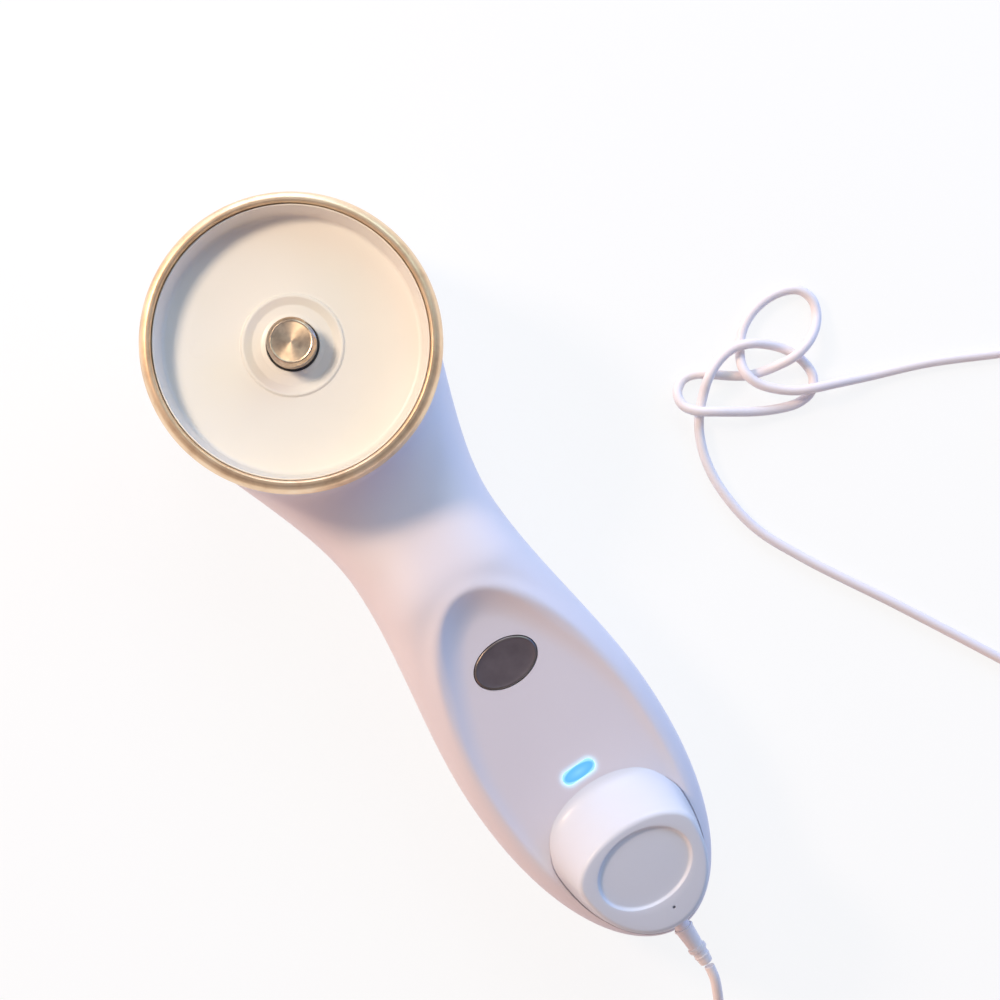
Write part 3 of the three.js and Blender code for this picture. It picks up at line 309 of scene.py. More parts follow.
def linear(hex_colour):
    """An sRGB hex colour as linear light, with full alpha."""
    value = int(hex_colour.lstrip("#"), 16)
    shares = [(value >> shift & 255) / 255 for shift in (16, 8, 0)]
    return tuple(s / 12.92 if s <= 0.04045 else ((s + 0.055) / 1.055) ** 2.4 for s in shares) + (1.0,)


def add(tree, kind, settings=None, links=None, stops=()):
    """A node with its settings, by property or socket name, its links from (node, output), and the
    (place, sRGB hex) stops of a colour ramp."""
    made = tree.nodes.new("ShaderNode" + kind)
    for name, value in (settings or {}).items():
        if isinstance(name, str) and hasattr(made, name):
            setattr(made, name, value)
        else:
            made.inputs[name].default_value = value
    for name, (source, output) in (links or {}).items():
        tree.links.new(source.outputs[output], made.inputs[name])
    for _ in stops[2:]:
        made.color_ramp.elements.new(0.5)
    for i, (place, colour) in enumerate(stops):
        made.color_ramp.elements[i].position = place
        made.color_ramp.elements[i].color = linear(colour)
    return made


def material(name):
    made = bpy.data.materials.new(name)
    made.use_nodes = True
    made.node_tree.nodes.clear()
    return made, made.node_tree


def close(tree, shader):
    add(tree, "OutputMaterial", None, {"Surface": (shader, 0)})


def per_mm(size):
    """Noise scale whose features are about this many millimetres across. Turned lines and moulded grain,
    finer than 0.1 mm on the real ones, are drawn at 0.12 to 0.5 mm so that they show."""
    return 1000 / size


def surface(tree, tint, grain, gloss, relief, settings, more_links=None):
    """A surface whose grain swings its roughness between two values and raises a fine relief, given as
    its strength and its height in millimetres."""
    sheen = add(tree, "MapRange", {"To Min": gloss[0], "To Max": gloss[1]}, {"Value": (grain, "Fac")})
    raised = add(tree, "Bump", {"Strength": relief[0], "Distance": relief[1] * MM}, {
        "Height": (grain, "Fac")})
    shader = add(tree, "BsdfPrincipled", settings, {
        "Base Color": (tint, "Color"), "Roughness": (sheen, "Result"), "Normal": (raised, "Normal"),
        **(more_links or {}),
    })
    close(tree, shader)


def grained(name, patch, detail, stops, grain, gloss, bump, settings):
    """A material that drifts between two tints from patch to patch, with one fine grain all over."""
    made, tree = material(name)
    place = add(tree, "TexCoord")
    drift = add(tree, "TexNoise", {"Scale": per_mm(patch), "Detail": detail}, {"Vector": (place, "Object")})
    tint = add(tree, "ValToRGB", None, {"Fac": (drift, "Fac")}, stops)
    fine = add(tree, "TexNoise", {"Scale": per_mm(grain), "Detail": 3.0}, {"Vector": (place, "Object")})
    surface(tree, tint, fine, gloss, (0.25, bump), settings)
    return made


def plastic(name, colour, deep, roughness, coat=0.0, grain=0.18, bump=0.02):
    """A moulded plastic: an even colour that drifts a little, and a fine spark-eroded grain."""
    gloss = (roughness * 0.88, roughness * 1.12)
    return grained(name, 35, 2.0, [(0.3, deep), (0.7, colour)], grain, gloss, bump, {
        "IOR": 1.53, "Coat Weight": coat, "Coat Roughness": 0.12})


def metal(name, colour, deep, roughness, grain=0.2, bare=1.0):
    """A worked metal whose fine grain varies its gloss; bare is below 1 where a dull film covers it."""
    gloss = (roughness * 0.8, roughness * 1.25)
    return grained(name, 4, 3.0, [(0.3, deep), (0.65, colour)], grain, gloss, 0.008, {"Metallic": bare})


# The dish's own plane: along the handle, across it and up along its normal
DISH_PLACE, DISH_HEIGHT, DISH_TILT = 57.5, 24.6, math.radians(6)
DISH = Matrix.Translation((0, -DISH_PLACE, DISH_HEIGHT)) @ Matrix.Rotation(DISH_TILT, 4, "X")
LIGHT_PLACE, LIGHT_LENGTH, LIGHT_WIDTH, GLOW_REACH = 40.7, 7.0, 2.7, 2.1


def light_plane(tree, scale):
    """Places on the dish's plane about the middle of the light, as shares of a scale in metres."""
    place = add(tree, "TexCoord")
    return add(tree, "Mapping", {
        "vector_type": "TEXTURE", "Location": row(DISH @ Vector((0, -LIGHT_PLACE, 0))),
        "Rotation": (DISH_TILT, 0, 0), "Scale": scale,
    }, {"Vector": (place, "Object")})


def satin_abs():
    """White ABS, moulded in a fine-blasted tool: an even cool white with a satin sheen.
    Round the light it glows pale cyan, as thin white plastic does when it is lit from behind."""
    made = plastic("satin_white_abs", "#ECE9EF", "#E7E4EB", 0.5, grain=0.25, bump=0.006)
    tree = made.node_tree
    split = add(tree, "SeparateXYZ", None, {"Vector": (light_plane(tree, (1, 1, 1)), "Vector")})
    reach = (LIGHT_LENGTH - LIGHT_WIDTH) / 2 * MM
    inside = add(tree, "Clamp", {"Min": -reach, "Max": reach}, {"Value": (split, "X")})
    beside = add(tree, "Math", {"operation": "SUBTRACT"}, {0: (split, "X"), 1: (inside, "Result")})
    flat = add(tree, "CombineXYZ", None, {"X": (beside, "Value"), "Y": (split, "Y"), "Z": (split, "Z")})
    away = add(tree, "VectorMath", {"operation": "LENGTH"}, {"Vector": (flat, "Vector")})
    edge = LIGHT_WIDTH / 2
    glow = add(tree, "MapRange", {
        "From Min": edge * MM, "From Max": (edge + GLOW_REACH) * MM, "To Min": 1.0, "To Max": 0.0,
    }, {"Value": (away, "Value")})
    falling = add(tree, "Math", {"operation": "POWER", 1: 4.5}, {0: (glow, "Result")})
    strength = add(tree, "Math", {"operation": "MULTIPLY", 1: 0.8}, {0: (falling, "Value")})
    shader = tree.nodes["Principled BSDF"]
    shader.inputs["Emission Color"].default_value = linear("#8FE4FF")
    tree.links.new(strength.outputs["Value"], shader.inputs["Emission Strength"])
    return made


def round_axis(tree):
    """The object's own places, their offsets from the head's axis, and how far they lie from it."""
    place = add(tree, "TexCoord")
    moved = add(tree, "Mapping", {"vector_type": "TEXTURE", "Location": row((0, 0, 0))}, {
        "Vector": (place, "Object")})
    split = add(tree, "SeparateXYZ", None, {"Vector": (moved, "Vector")})
    flat = add(tree, "CombineXYZ", None, {"X": (split, "X"), "Y": (split, "Y")})
    radius = add(tree, "VectorMath", {"operation": "LENGTH"}, {"Vector": (flat, "Vector")})
    return place, split, radius


def champagne_aluminium():
    """Aluminium, turned, blasted to a satin and anodised champagne: a warm pale gold with faint streaks
    round the ring and a few darker rubbed places."""
    made, tree = material("champagne_anodised_aluminium")
    place, split, radius = round_axis(tree)
    angle = add(tree, "Math", {"operation": "ARCTAN2"}, {0: (split, "Y"), 1: (split, "X")})
    # much less than the ring's radius, which draws each streak out along the ring
    drawn = add(tree, "Math", {"operation": "MULTIPLY", 1: 4 * MM}, {0: (angle, "Value")})
    lines = add(tree, "CombineXYZ", None, {"X": (drawn, "Value"), "Y": (radius, "Value"), "Z": (split, "Z")})
    streaks = add(tree, "TexNoise", {"Scale": per_mm(0.22), "Detail": 4.0}, {"Vector": (lines, "Vector")})
    rubbed = add(tree, "TexNoise", {"Scale": per_mm(7), "Detail": 6.0, "Roughness": 0.65}, {
        "Vector": (place, "Object")})
    tint = add(tree, "ValToRGB", None, {"Fac": (rubbed, "Fac")}, [
        (0.32, "#DFBD99"), (0.52, "#F7DAB6"), (0.72, "#FCE6C9")])
    surface(tree, tint, streaks, (0.38, 0.54), (0.3, 0.01), {"Metallic": 1.0})
    return made


def ivory_polycarbonate():
    """Polycarbonate moulding in warm ivory: satin, with two faint sunk circles left by ejector pins."""
    made = plastic("satin_ivory_polycarbonate", "#EFEAE3", "#E9E2D8", 0.42, coat=0.1, grain=0.22, bump=0.012)
    tree = made.node_tree
    place, grain, shader = [tree.nodes[name] for name in ("Texture Coordinate", "Bump", "Principled BSDF")]
    flat = add(tree, "VectorMath", {"operation": "MULTIPLY", 1: (1, 1, 0)}, {0: (place, "Object")})
    circles = []
    for x, y, size in ((3.1, -15.0, 2.15), (-15.4, 9.0, 1.6)):
        away = add(tree, "VectorMath", {"operation": "DISTANCE", 1: row((x, y, 0))}, {0: (flat, "Vector")})
        circles.append(add(tree, "Math", {"operation": "COMPARE", 1: size * MM, 2: 0.13 * MM}, {
            0: (away, "Value")}))
    marks = add(tree, "Math", {"operation": "MAXIMUM"}, {0: (circles[0], "Value"), 1: (circles[1], "Value")})
    sunk = add(tree, "Bump", {"Strength": 0.35, "Distance": -0.05 * MM}, {
        "Height": (marks, "Value"), "Normal": (grain, "Normal")})
    tree.links.new(sunk.outputs["Normal"], shader.inputs["Normal"])
    return made


def turned_steel():
    """Stainless steel, turned and polished: fine rings round its axis that draw the light out, under a
    little dried residue that takes the shine off in spots, all tinted warm tan as a painted reflection of the
    gold ring."""
    made, tree = material("turned_stainless_steel")
    place, split, radius = round_axis(tree)
    lines = add(tree, "CombineXYZ", None, {"X": (radius, "Value"), "Z": (split, "Z")})
    rings = add(tree, "TexNoise", {"Scale": per_mm(0.16), "Detail": 3.0}, {"Vector": (lines, "Vector")})
    dirt = add(tree, "TexNoise", {"Scale": per_mm(1.6), "Detail": 4.0}, {"Vector": (place, "Object")})
    # The residue drifts between two tints; the warm tan of both is painted reflection of the gold ring and
    # the warm lamps.
    tint = add(tree, "ValToRGB", None, {"Fac": (dirt, "Fac")}, [(0.3, "#BBA58F"), (0.6, "#DFC9AF")])
    tangent = add(tree, "Tangent", {"direction_type": "RADIAL", "axis": "Z"})
    surface(tree, tint, rings, (0.238, 0.476), (0.4, 0.012), {"Metallic": 1.0, "Anisotropic": 0.6}, {
        "Tangent": (tangent, "Tangent")})
    return made


def lit_acrylic():
    """Clear acrylic light pipe over a blue diode: an even sky-blue glow, paler at its middle and edge."""
    made, tree = material("lit_clear_acrylic")
    moved = light_plane(tree, (LIGHT_LENGTH / 2 * MM, LIGHT_WIDTH / 2 * MM, 1))
    away = add(tree, "VectorMath", {"operation": "LENGTH"}, {"Vector": (moved, "Vector")})
    tint = add(tree, "ValToRGB", None, {"Fac": (away, "Value")}, [
        (0.0, "#8FD4FF"), (0.55, "#72C2FA"), (0.85, "#68BCFB"), (1.0, "#B0EEFF")])
    shader = add(tree, "BsdfPrincipled", {
        "Base Color": linear("#2E6FA8"), "Roughness": 0.2, "IOR": 1.49, "Emission Strength": 0.85,
    }, {"Emission Color": (tint, "Color")})
    close(tree, shader)
    return made


shell_white = satin_abs()
# Aluminium, blasted and anodised dark: a deep brown-grey with a soft sheen.
button_dark = metal("dark_anodised_aluminium", "#7D7478", "#70676B", 0.4, grain=0.12, bare=0.55)
# The button's rim: a brighter, bare line all round, painted lighter as the highlight on its chamfer.
button_rim_highlight = metal("aluminium_rim_painted_highlight", "#968D88", "#7D7571", 0.3)
# Light grey ABS, moulded in a spark-eroded tool: a cool pale grey, a little glossier than the shells.
puck_grey = plastic("satin_grey_abs", "#DFE4EC", "#D9DEE7", 0.42, coat=0.08, grain=0.3, bump=0.014)
# White thermoplastic elastomer, extruded: a dull, slightly pink white.
lead_white = plastic("white_elastomer_jacket", "#FFF8F5", "#FBF1F0", 0.5, grain=0.5, bump=0.02)
# Black silicone, moulded: matt with a faint bloom.
rubber_black = plastic("black_silicone", "#3B3B3E", "#313134", 0.75, grain=0.3)
# Natural nylon, moulded: cream and slightly waxy.
nylon_cream = plastic("natural_nylon", "#E3DCC8", "#D8D0BA", 0.5)
# Brass, plated with gold: a clean bright yellow.
contact_gold = metal("gold_plated_brass", "#E0BC66", "#CFA850", 0.22)
# Steel sheet, rolled bright: a plain grey shine.
steel_plain = metal("bright_steel", "#BDB8B0", "#A6A199", 0.3)

# Inside the shells: a board under a green mask that shines a little, a dull silver pouch of pressed foil,
# a bright grey plated magnet, and the smooth extruded skins of the wires
SLOT_MATERIALS = {
    "shell": shell_white, "ring": champagne_aluminium(), "cup": ivory_polycarbonate(),
    "steel": steel_plain, "button": button_dark, "light": lit_acrylic(), "puck": puck_grey,
    "lead": lead_white, "rubber": rubber_black, "nylon": nylon_cream, "gold": contact_gold,
    "board": plastic("green_solder_mask", "#1F6B43", "#195A38", 0.35, coat=0.4),
    "cell": metal("aluminium_foil_pouch", "#A6ABB2", "#90959C", 0.4, grain=1.2),
    "magnet": metal("nickel_plated_magnet", "#B4B5B8", "#9C9EA2", 0.2),
    "red_wire": plastic("red_pvc_insulation", "#B03030", "#9C2828", 0.45),
    "black_wire": plastic("black_pvc_insulation", "#2A2A2A", "#222222", 0.45),
}
for part in frame["record"]["subparts"]:
    mesh = frame["nodes"][part["node"]].data
    mesh.materials.clear()
    mesh.materials.append(SLOT_MATERIALS[part["material_slot"]])


def dress(obj, body, slot, *nodes, finish=None):
    """Gives a piece its material, the slot's unless a finish is given, puts it under its body and hides the
    nodes that it stands for.
    """
    if not obj.data.materials:
        obj.data.materials.append(finish or SLOT_MATERIALS[slot])
    if body:
        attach(obj, body)
    if nodes:
        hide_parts(*nodes)
    return obj


# ---------------------------------------------------------------- charging lead

LEAD_RADIUS = 1
LEAD_DROP = [
    (0, -143.1, 20.1), (-0.4, -145.6, 19.6), (-1.6, -149, 17.8), (-3, -152.5, 14.9), (-4.6, -156.5, 11),
    (-5.8, -160.5, 7), (-6.6, -165, 3.7), (-6.9, -170, 1.7), (-6.2, -175, 1.05), (-4, -181, 1.05),
    (1.5, -190, 1.05), (9, -198.5, 1.05), (19, -206, 1.05), (31.5, -211.5, 1.05), (44, -213, 1.05),
    (56, -210, 1.05), (66, -203.5, 1.05), (73, -194, 1.05), (77.5, -183, 1.05), (80.5, -171, 1.05),
    (84.5, -160, 1.05), (88, -150.5, 1.05), (88.9, -142.5, 1.05), (87.8, -136.8, 1.05), (86, -132.9, 1.05),
]
LEAD_LOOPS = [
    (85.86, -132.63, 1.05), (84.6, -130.2, 1.05), (73, -109, 1.05), (62.5, -90.5, 1.05),
    (57.7, -79.9, 1.12), (56.3, -69.8, 1.12), (57, -63.1, 1.12), (58.8, -58.1, 1.12), (61, -54.7, 1.12),
    (63.7, -51.8, 2.1), (66.4, -49.4, 3.57), (70, -47.7, 3.62), (73.8, -47.2, 3.62), (77.3, -48.3, 3.62),
    (80.6, -50.6, 2.5), (83.4, -53.7, 1.2), (84.9, -57.5, 1.12), (84.8, -61.1, 1.12), (82.7, -63.4, 1.12),
    (79.3, -63.8, 1.12), (75.4, -62.6, 1.2), (71.3, -60.6, 1.8), (67.4, -58.2, 2.8), (63.9, -55.9, 3.62),
    (60.6, -53.5, 3.62), (59.1, -51.1, 2.9), (59.7, -48.4, 2), (62.2, -46.8, 1.3), (65, -47.3, 1.12),
    (67.7, -49.1, 1.12), (70.5, -51.3, 1.12), (73.7, -53.4, 1.12), (76.8, -54.5, 1.5), (80.1, -55.2, 2.7),
    (83.6, -55.5, 3.62), (87.2, -54.8, 3.3), (90.5, -53.1, 2.1), (92.7, -50.7, 1.2), (93.5, -47.8, 1.12),
    (92.5, -45, 1.12), (90, -43.4, 1.12), (86.3, -42.7, 1.12), (82.2, -43.2, 1.12), (78.7, -44.8, 1.12),
    (76.1, -47.2, 1.12), (74.8, -49, 1.6), (73.6, -51, 2.9), (73.3, -53.4, 3.62), (74.3, -56.1, 3.62),
    (76.7, -58.9, 3.57), (79.7, -61.3, 3.57), (82.9, -62.9, 3.62), (87.5, -64.7, 2.8), (94.5, -67.4, 1.3),
    (106, -71.8, 1.05), (119.4, -78.4, 1.05), (131, -84.2, 1.6), (135.13, -86.27, 1.65),
]
COIL_CENTRE, COIL_MEAN_RADIUS, COIL_PITCH, COIL_TURNS = (130.3, -101.25), 11.6, 2.47, 6.25
COIL_STEPS, COIL_ENTRY, COIL_TAIL, COIL_LIFT = 24, math.radians(63.4), 10, 0.65
TIE_ANGLE = math.radians(215)


def coil_route():
    """The coil's points, two layers that spiral in and out again, and its straight ends."""
    half = COIL_TURNS / 2
    inner = COIL_MEAN_RADIUS - COIL_PITCH * half / 2
    steps = round(COIL_TURNS * COIL_STEPS)
    points = []
    for i in range(steps + 1):
        turn = COIL_TURNS * i / steps
        radius = inner + COIL_PITCH * abs(turn - half)
        angle = COIL_ENTRY - 2 * math.pi * turn
        climb = smoothstep(turn, half - 0.25, half + 0.25)
        points.append(Vector((
            COIL_CENTRE[0] + radius * math.cos(angle), COIL_CENTRE[1] + radius * math.sin(angle),
            LEAD_RADIUS + COIL_LIFT + COIL_PITCH * climb,
        )))
    entry = (points[0] - points[1]).normalized() * 2 * LEAD_RADIUS
    leaving = (points[-1] - points[-2]).normalized() * (2 * LEAD_RADIUS + COIL_TAIL)
    return [points[0] + entry, *points, points[-1] + leaving]


drop_path = spline(LEAD_DROP, 1.2)
loops_path = spline(LEAD_LOOPS, 0.8)
coil_ends = coil_route()
coil_path = spline(coil_ends, 0.9)

charging_lead = soften(tube("charging_lead_tube", drop_path, LEAD_RADIUS), 60)
dress(charging_lead, None, "lead", "charging_lead")
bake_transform(charging_lead)

lead_loops = cord_curve("lead_loops_curve", loops_path, LEAD_RADIUS)
dress(lead_loops, "body", "lead", "lead_loops")

lead_coil = cord_curve("lead_coil_curve", coil_path, LEAD_RADIUS)
dress(lead_coil, "body", "lead", "lead_coil")


# ---------------------------------------------------------------- body shells

HEAD_RADIUS, FILLET_WIDTH, FILLET_HEIGHT, FILLET_STEPS = 27.7, 11, 12, 12
SEAT_HEIGHT, PARTING = 29.7, 12.5
JOIN_ANGLE = math.radians(18)
NECK_PLACE, NECK_HALF = 45, 16.05
GRIP_PLACE, GRIP_HALF = 92, 20.9
TAIL_PLACE, NECK_ARCH = 134.9, 1.8
NECK_CROWN_PLACE, NECK_CROWN = 34, 22
SHOULDER_PLACE, SHOULDER_RISE, SHOULDER_RUN = 55, 0.9, 20
WALL, REST_CUT, DISH_DEPTH = 1.8, 0.35, 1.3
TAIL_PLAN, TAIL_CROWN, TAIL_BELLY = 2.15, 8, 2.6
NECK_FULLNESS, GRIP_FULLNESS, BELLY_FULLNESS = 2.4, 4.5, 2.6
DISH_EGG = {"front": -0.3, "widest": 38.5, "tail": 77, "half": 17.0}
PUCK_FOOT = {"front": 45.3, "widest": 55.2, "tail": 77.1, "half": 14.5}
PUCK_FACE = {"front": 51.4, "widest": 58.1, "tail": 73.1, "half": 12.75}
PUCK_HEIGHT = 12
BUTTON_PLACE, BUTTON_HALF = 15.1, (6.6, 4.4)
CONTACT_PLACE, CONTACT_SIDE = 60, 3.4
GAP, PARTING_GAP = 0.18, 0.16  # round what stands in a hole, and between the two shells
FINE, COARSE = 0.42, 1.3  # squares of the remeshed outside and inside


def half_width(place, inset):
    """Half the body's width at a place: round the head, in to the neck, out to the grip and round the
    tail; inset by the wall for the inside."""
    join = HEAD_RADIUS * math.sin(JOIN_ANGLE)
    if place <= join:
        return math.sqrt(HEAD_RADIUS ** 2 - place ** 2) * blend(0.97, 1, place / join) - inset
    if place <= NECK_PLACE:
        span = NECK_PLACE - join
        t = (place - join) / span
        start = 2 * t ** 3 - 3 * t ** 2 + 1
        slope = -math.tan(JOIN_ANGLE) * span * (t ** 3 - 2 * t ** 2 + t)
        return HEAD_RADIUS * math.cos(JOIN_ANGLE) * start + slope + NECK_HALF * (1 - start) - inset
    if place <= GRIP_PLACE:
        return blend(NECK_HALF, GRIP_HALF, smoothstep(place, NECK_PLACE, GRIP_PLACE)) - inset
    reach = (place - GRIP_PLACE) / (TAIL_PLACE - inset - GRIP_PLACE)
    return (GRIP_HALF - inset) * math.sqrt(1 - reach ** TAIL_PLAN)


def tail_closing(place, inset, fullness):
    """How much of its height the body keeps at a place, down to nothing at the tail's end."""
    if place <= GRIP_PLACE:
        return 1
    reach = (place - GRIP_PLACE) / (TAIL_PLACE - inset - GRIP_PLACE)
    return (1 - reach ** fullness) ** (1 / fullness)


def shoulder_lift(place):
    """How far the crown stands up over its plain line, about the dish's front rim."""
    if place < SHOULDER_PLACE:
        return SHOULDER_RISE * smoothstep(place, NECK_CROWN_PLACE, SHOULDER_PLACE)
    return SHOULDER_RISE * (1 - smoothstep(place, SHOULDER_PLACE, SHOULDER_PLACE + SHOULDER_RUN))


def dish_line(place):
    return DISH_HEIGHT + DISH_DEPTH - (place - DISH_PLACE) * math.tan(DISH_TILT)


def crown_line(place):
    if place >= SHOULDER_PLACE:
        return dish_line(place) + shoulder_lift(place)
    to_shoulder = smoothstep(place, NECK_CROWN_PLACE, SHOULDER_PLACE)
    return blend(NECK_CROWN, dish_line(SHOULDER_PLACE), to_shoulder) + shoulder_lift(place)


def belly_line(place):
    if place <= NECK_PLACE:
        return NECK_ARCH * smoothstep(place, 0, NECK_PLACE)
    return blend(NECK_ARCH, -REST_CUT, smoothstep(place, NECK_PLACE, GRIP_PLACE))


def body_section(place, inset, sides):
    """The handle's section at a place: a wide oval, fuller above than below, about the parting line."""
    half = half_width(place, inset)
    lower = DISH_DEPTH * smoothstep(place, NECK_PLACE, DISH_PLACE) + shoulder_lift(place) if inset else 0
    crown = (crown_line(place) - inset - lower - PARTING) * tail_closing(place, inset, TAIL_CROWN)
    belly = (PARTING - belly_line(place) - inset) * tail_closing(place, inset, TAIL_BELLY)
    crown_fullness = blend(NECK_FULLNESS, GRIP_FULLNESS, smoothstep(place, NECK_PLACE, GRIP_PLACE))
    ring = []
    for angle in around(sides):
        across, rising = math.cos(angle), math.sin(angle)
        rise, fullness = (crown, crown_fullness) if rising > 0 else (belly, BELLY_FULLNESS)
        ring.append((
            half * math.copysign(abs(across) ** (2 / fullness), across),
            -place,
            PARTING + rise * math.copysign(abs(rising) ** (2 / fullness), rising),
        ))
    return ring


def body_blank(name, inset, sides, steps, voxel):
    """The head drum and the handle, fused and remeshed to even squares."""
    places = [GRIP_PLACE * i / steps for i in range(steps)]
    tail = TAIL_PLACE - inset - GRIP_PLACE
    places += [GRIP_PLACE + tail * min(math.sin(math.pi / 2 * i / steps), 0.999) for i in range(steps + 1)]
    handle = loft("handle_blank", [body_section(place, inset, sides) for place in places])
    flat = HEAD_RADIUS - FILLET_WIDTH
    corners = [(0, inset, 0)]
    for i in range(FILLET_STEPS + 1):
        angle = math.pi / 2 * i / FILLET_STEPS
        corners.append((
            flat + (FILLET_WIDTH - inset) * math.sin(angle),
            FILLET_HEIGHT - (FILLET_HEIGHT - inset) * math.cos(angle), 0,
        ))
    corners += [(HEAD_RADIUS - inset, SEAT_HEIGHT - inset, 0), (0, SEAT_HEIGHT - inset, 0)]
    blank = merged(name, [handle, lathe("drum_blank", corners, sides=128)])
    step = blank.modifiers.new("even", "REMESH")
    step.mode = "VOXEL"
    step.voxel_size = voxel * MM
    return bake(blank)


def read_points(mesh):
    """A mesh's points in the head's frame, in millimetres."""
    flat = np.empty(len(mesh.vertices) * 3, np.float64)
    mesh.vertices.foreach_get("co", flat)
    points = flat.reshape(-1, 3) / MM
    points[:, 1] -= HEAD_Y
    return points


def write_points(mesh, points):
    points = points.copy()
    points[:, 1] += HEAD_Y
    mesh.vertices.foreach_set("co", (points * MM).ravel().astype(np.float32))
    mesh.update()


def relax(mesh, points, weights, rounds):
    """Evens a surface out: each point moves towards the middle of its neighbours, by its weight."""
    pairs = np.empty(len(mesh.edges) * 2, np.int32)
    mesh.edges.foreach_get("vertices", pairs)
    first, second = pairs[0::2], pairs[1::2]
    count = len(points)
    near = np.maximum(np.bincount(first, minlength=count) + np.bincount(second, minlength=count), 1)
    for _ in range(rounds):
        mean = np.stack([
            np.bincount(first, points[second, axis], count) + np.bincount(second, points[first, axis], count)
            for axis in range(3)
        ], 1) / near[:, None]
        points = points + (mean - points) * weights[:, None]
    return points


def soft_min(a, b, radius):
    """The lower of two heights, rounded where they cross."""
    share = np.clip(0.5 + 0.5 * (b - a) / radius, 0, 1)
    return b + (a - b) * share - radius * share * (1 - share)


def egg_depth(egg, along, across):
    """Distance inside an egg's outline, below zero outside it."""
    reach = np.where(along > egg["widest"], egg["tail"] - egg["widest"], egg["widest"] - egg["front"])
    u = (along - egg["widest"]) / reach
    v = across / egg["half"]
    size = np.maximum(np.sqrt(u * u + v * v), 1e-6)
    slope = np.sqrt((u / reach) ** 2 + (v / egg["half"]) ** 2) / size
    return (1 - size) / np.maximum(slope, 1e-6)


# The dish's hollow rim, by the distance along the dish: how wide it is, how high it ends, and how far
# the shell stands up beside it
RIM_PLACES = (-4, 0, 5, 10, 15, 20, 25, 32, 45)
RIM_WIDTHS = (6.2, 6.2, 6.0, 5.8, 5.4, 4.8, 4.0, 3.0, 2.6)
RIM_RISES = (2.3, 2.3, 2.1, 1.8, 1.45, 1.05, 0.75, 0.48, 0.4)
RIM_LIPS = (0.35, 0.45, 0.65, 0.8, 0.8, 0.62, 0.42, 0.18, 0.05)
LIP_OUTSIDE, LIP_SPREAD, LIP_REACH, CREST_ROUNDING = 0.75, 1.6, 10, 0.14
CARVE_START, CARVE_ABOVE = -14, PARTING + 2


def carve_dish(points):
    """Presses the dish into the handle: a flat floor that rises in a hollow curve to its front rim."""
    turned = np.array(DISH.inverted())
    local = points @ turned[:3, :3].T + turned[:3, 3]
    along, across, height = -local[:, 1], local[:, 0], local[:, 2]
    depth = egg_depth(DISH_EGG, along, across)
    width = np.interp(along, RIM_PLACES, RIM_WIDTHS)
    rise = np.interp(along, RIM_PLACES, RIM_RISES) * np.clip((width - depth) / width, 0, None) ** 2
    lip = np.interp(along, RIM_PLACES, RIM_LIPS) * np.exp(-((depth + LIP_OUTSIDE) / LIP_SPREAD) ** 2)
    height = height + np.where(np.abs(depth) < LIP_REACH, lip, 0)
    front = (points[:, 2] > CARVE_ABOVE) & (along > CARVE_START)
    local[:, 2] = np.where(front, np.minimum(height, soft_min(height, rise, CREST_ROUNDING)), height)
    back = np.array(DISH)
    return local @ back[:3, :3].T + back[:3, 3]


def split_half(source, name, height, keep_top):
    """The part of a mesh above or below a height, left open there."""
    def cut(shape):
        bmesh.ops.bisect_plane(
            shape, geom=shape.verts[:] + shape.edges[:] + shape.faces[:],
            plane_co=(0, 0, height * MM), plane_no=(0, 0, 1), clear_inner=keep_top, clear_outer=not keep_top,
        )

    return rework([source.data], bpy.data.meshes.new(name), cut)


def shell_half(name, outer, inner, height, keep_top):
    """One shell: its outside, its inside turned over, and the flat edge that joins them."""
    def fill_edge(shape):
        rim = [edge for edge in shape.edges if edge.is_boundary]
        bmesh.ops.triangle_fill(shape, use_beauty=True, edges=rim)

    outside = split_half(outer, "outside", height, keep_top)
    inside = split_half(inner, "inside", height, keep_top)
    inside.flip_normals()
    return placed(name, rework([outside, inside], bpy.data.meshes.new(name), fill_edge, face_out))


def on_dish(outline, height):
    """An outline of (across, along) points, set at a height over the dish's plane."""
    return [tuple(DISH @ Vector((x, -y, height))) for x, y in outline]


def pillow(name, outline, levels):
    """A piece on the dish, from its outline at each (inset, height) level."""
    return loft(name, [on_dish(outline(inset), height) for inset, height in levels])


def prism(name, outline, bottom, top):
    """A straight block on the dish, from one outline."""
    return loft(name, [on_dish(outline, height) for height in (bottom, top)])


def ellipse(across, along, centre, sides=72):
    return [
        (centre[0] + across * math.cos(angle), centre[1] + along * math.sin(angle)) for angle in around(sides)
    ]


def rounded_box(half_x, half_y, radius, sides=48):
    """A rounded rectangle's outline."""
    outline = []
    for angle in around(sides, 0.5):
        x, y = math.cos(angle), math.sin(angle)
        outline.append((
            math.copysign(half_x - radius, x) + radius * x, math.copysign(half_y - radius, y) + radius * y,
        ))
    return outline


def light_outline(inset):
    """The status light's slot with round ends."""
    half = LIGHT_WIDTH / 2 - inset
    return [(x, LIGHT_PLACE + y) for x, y in rounded_box(LIGHT_LENGTH / 2 - inset, half, half)]


def button_outline(inset):
    return ellipse(BUTTON_HALF[0] - inset, BUTTON_HALF[1] - inset, (0, BUTTON_PLACE), 96)


def egg_outline(egg, inset, sides=96):
    """An egg: half an ellipse towards the tail and half a longer or shorter one towards the head."""
    outline = []
    for angle in around(sides):
        tailwards = math.cos(angle)
        reach = egg["tail"] - egg["widest"] if tailwards > 0 else egg["widest"] - egg["front"]
        outline.append(((egg["half"] - inset) * math.sin(angle), egg["widest"] + (reach - inset) * tailwards))
    return outline


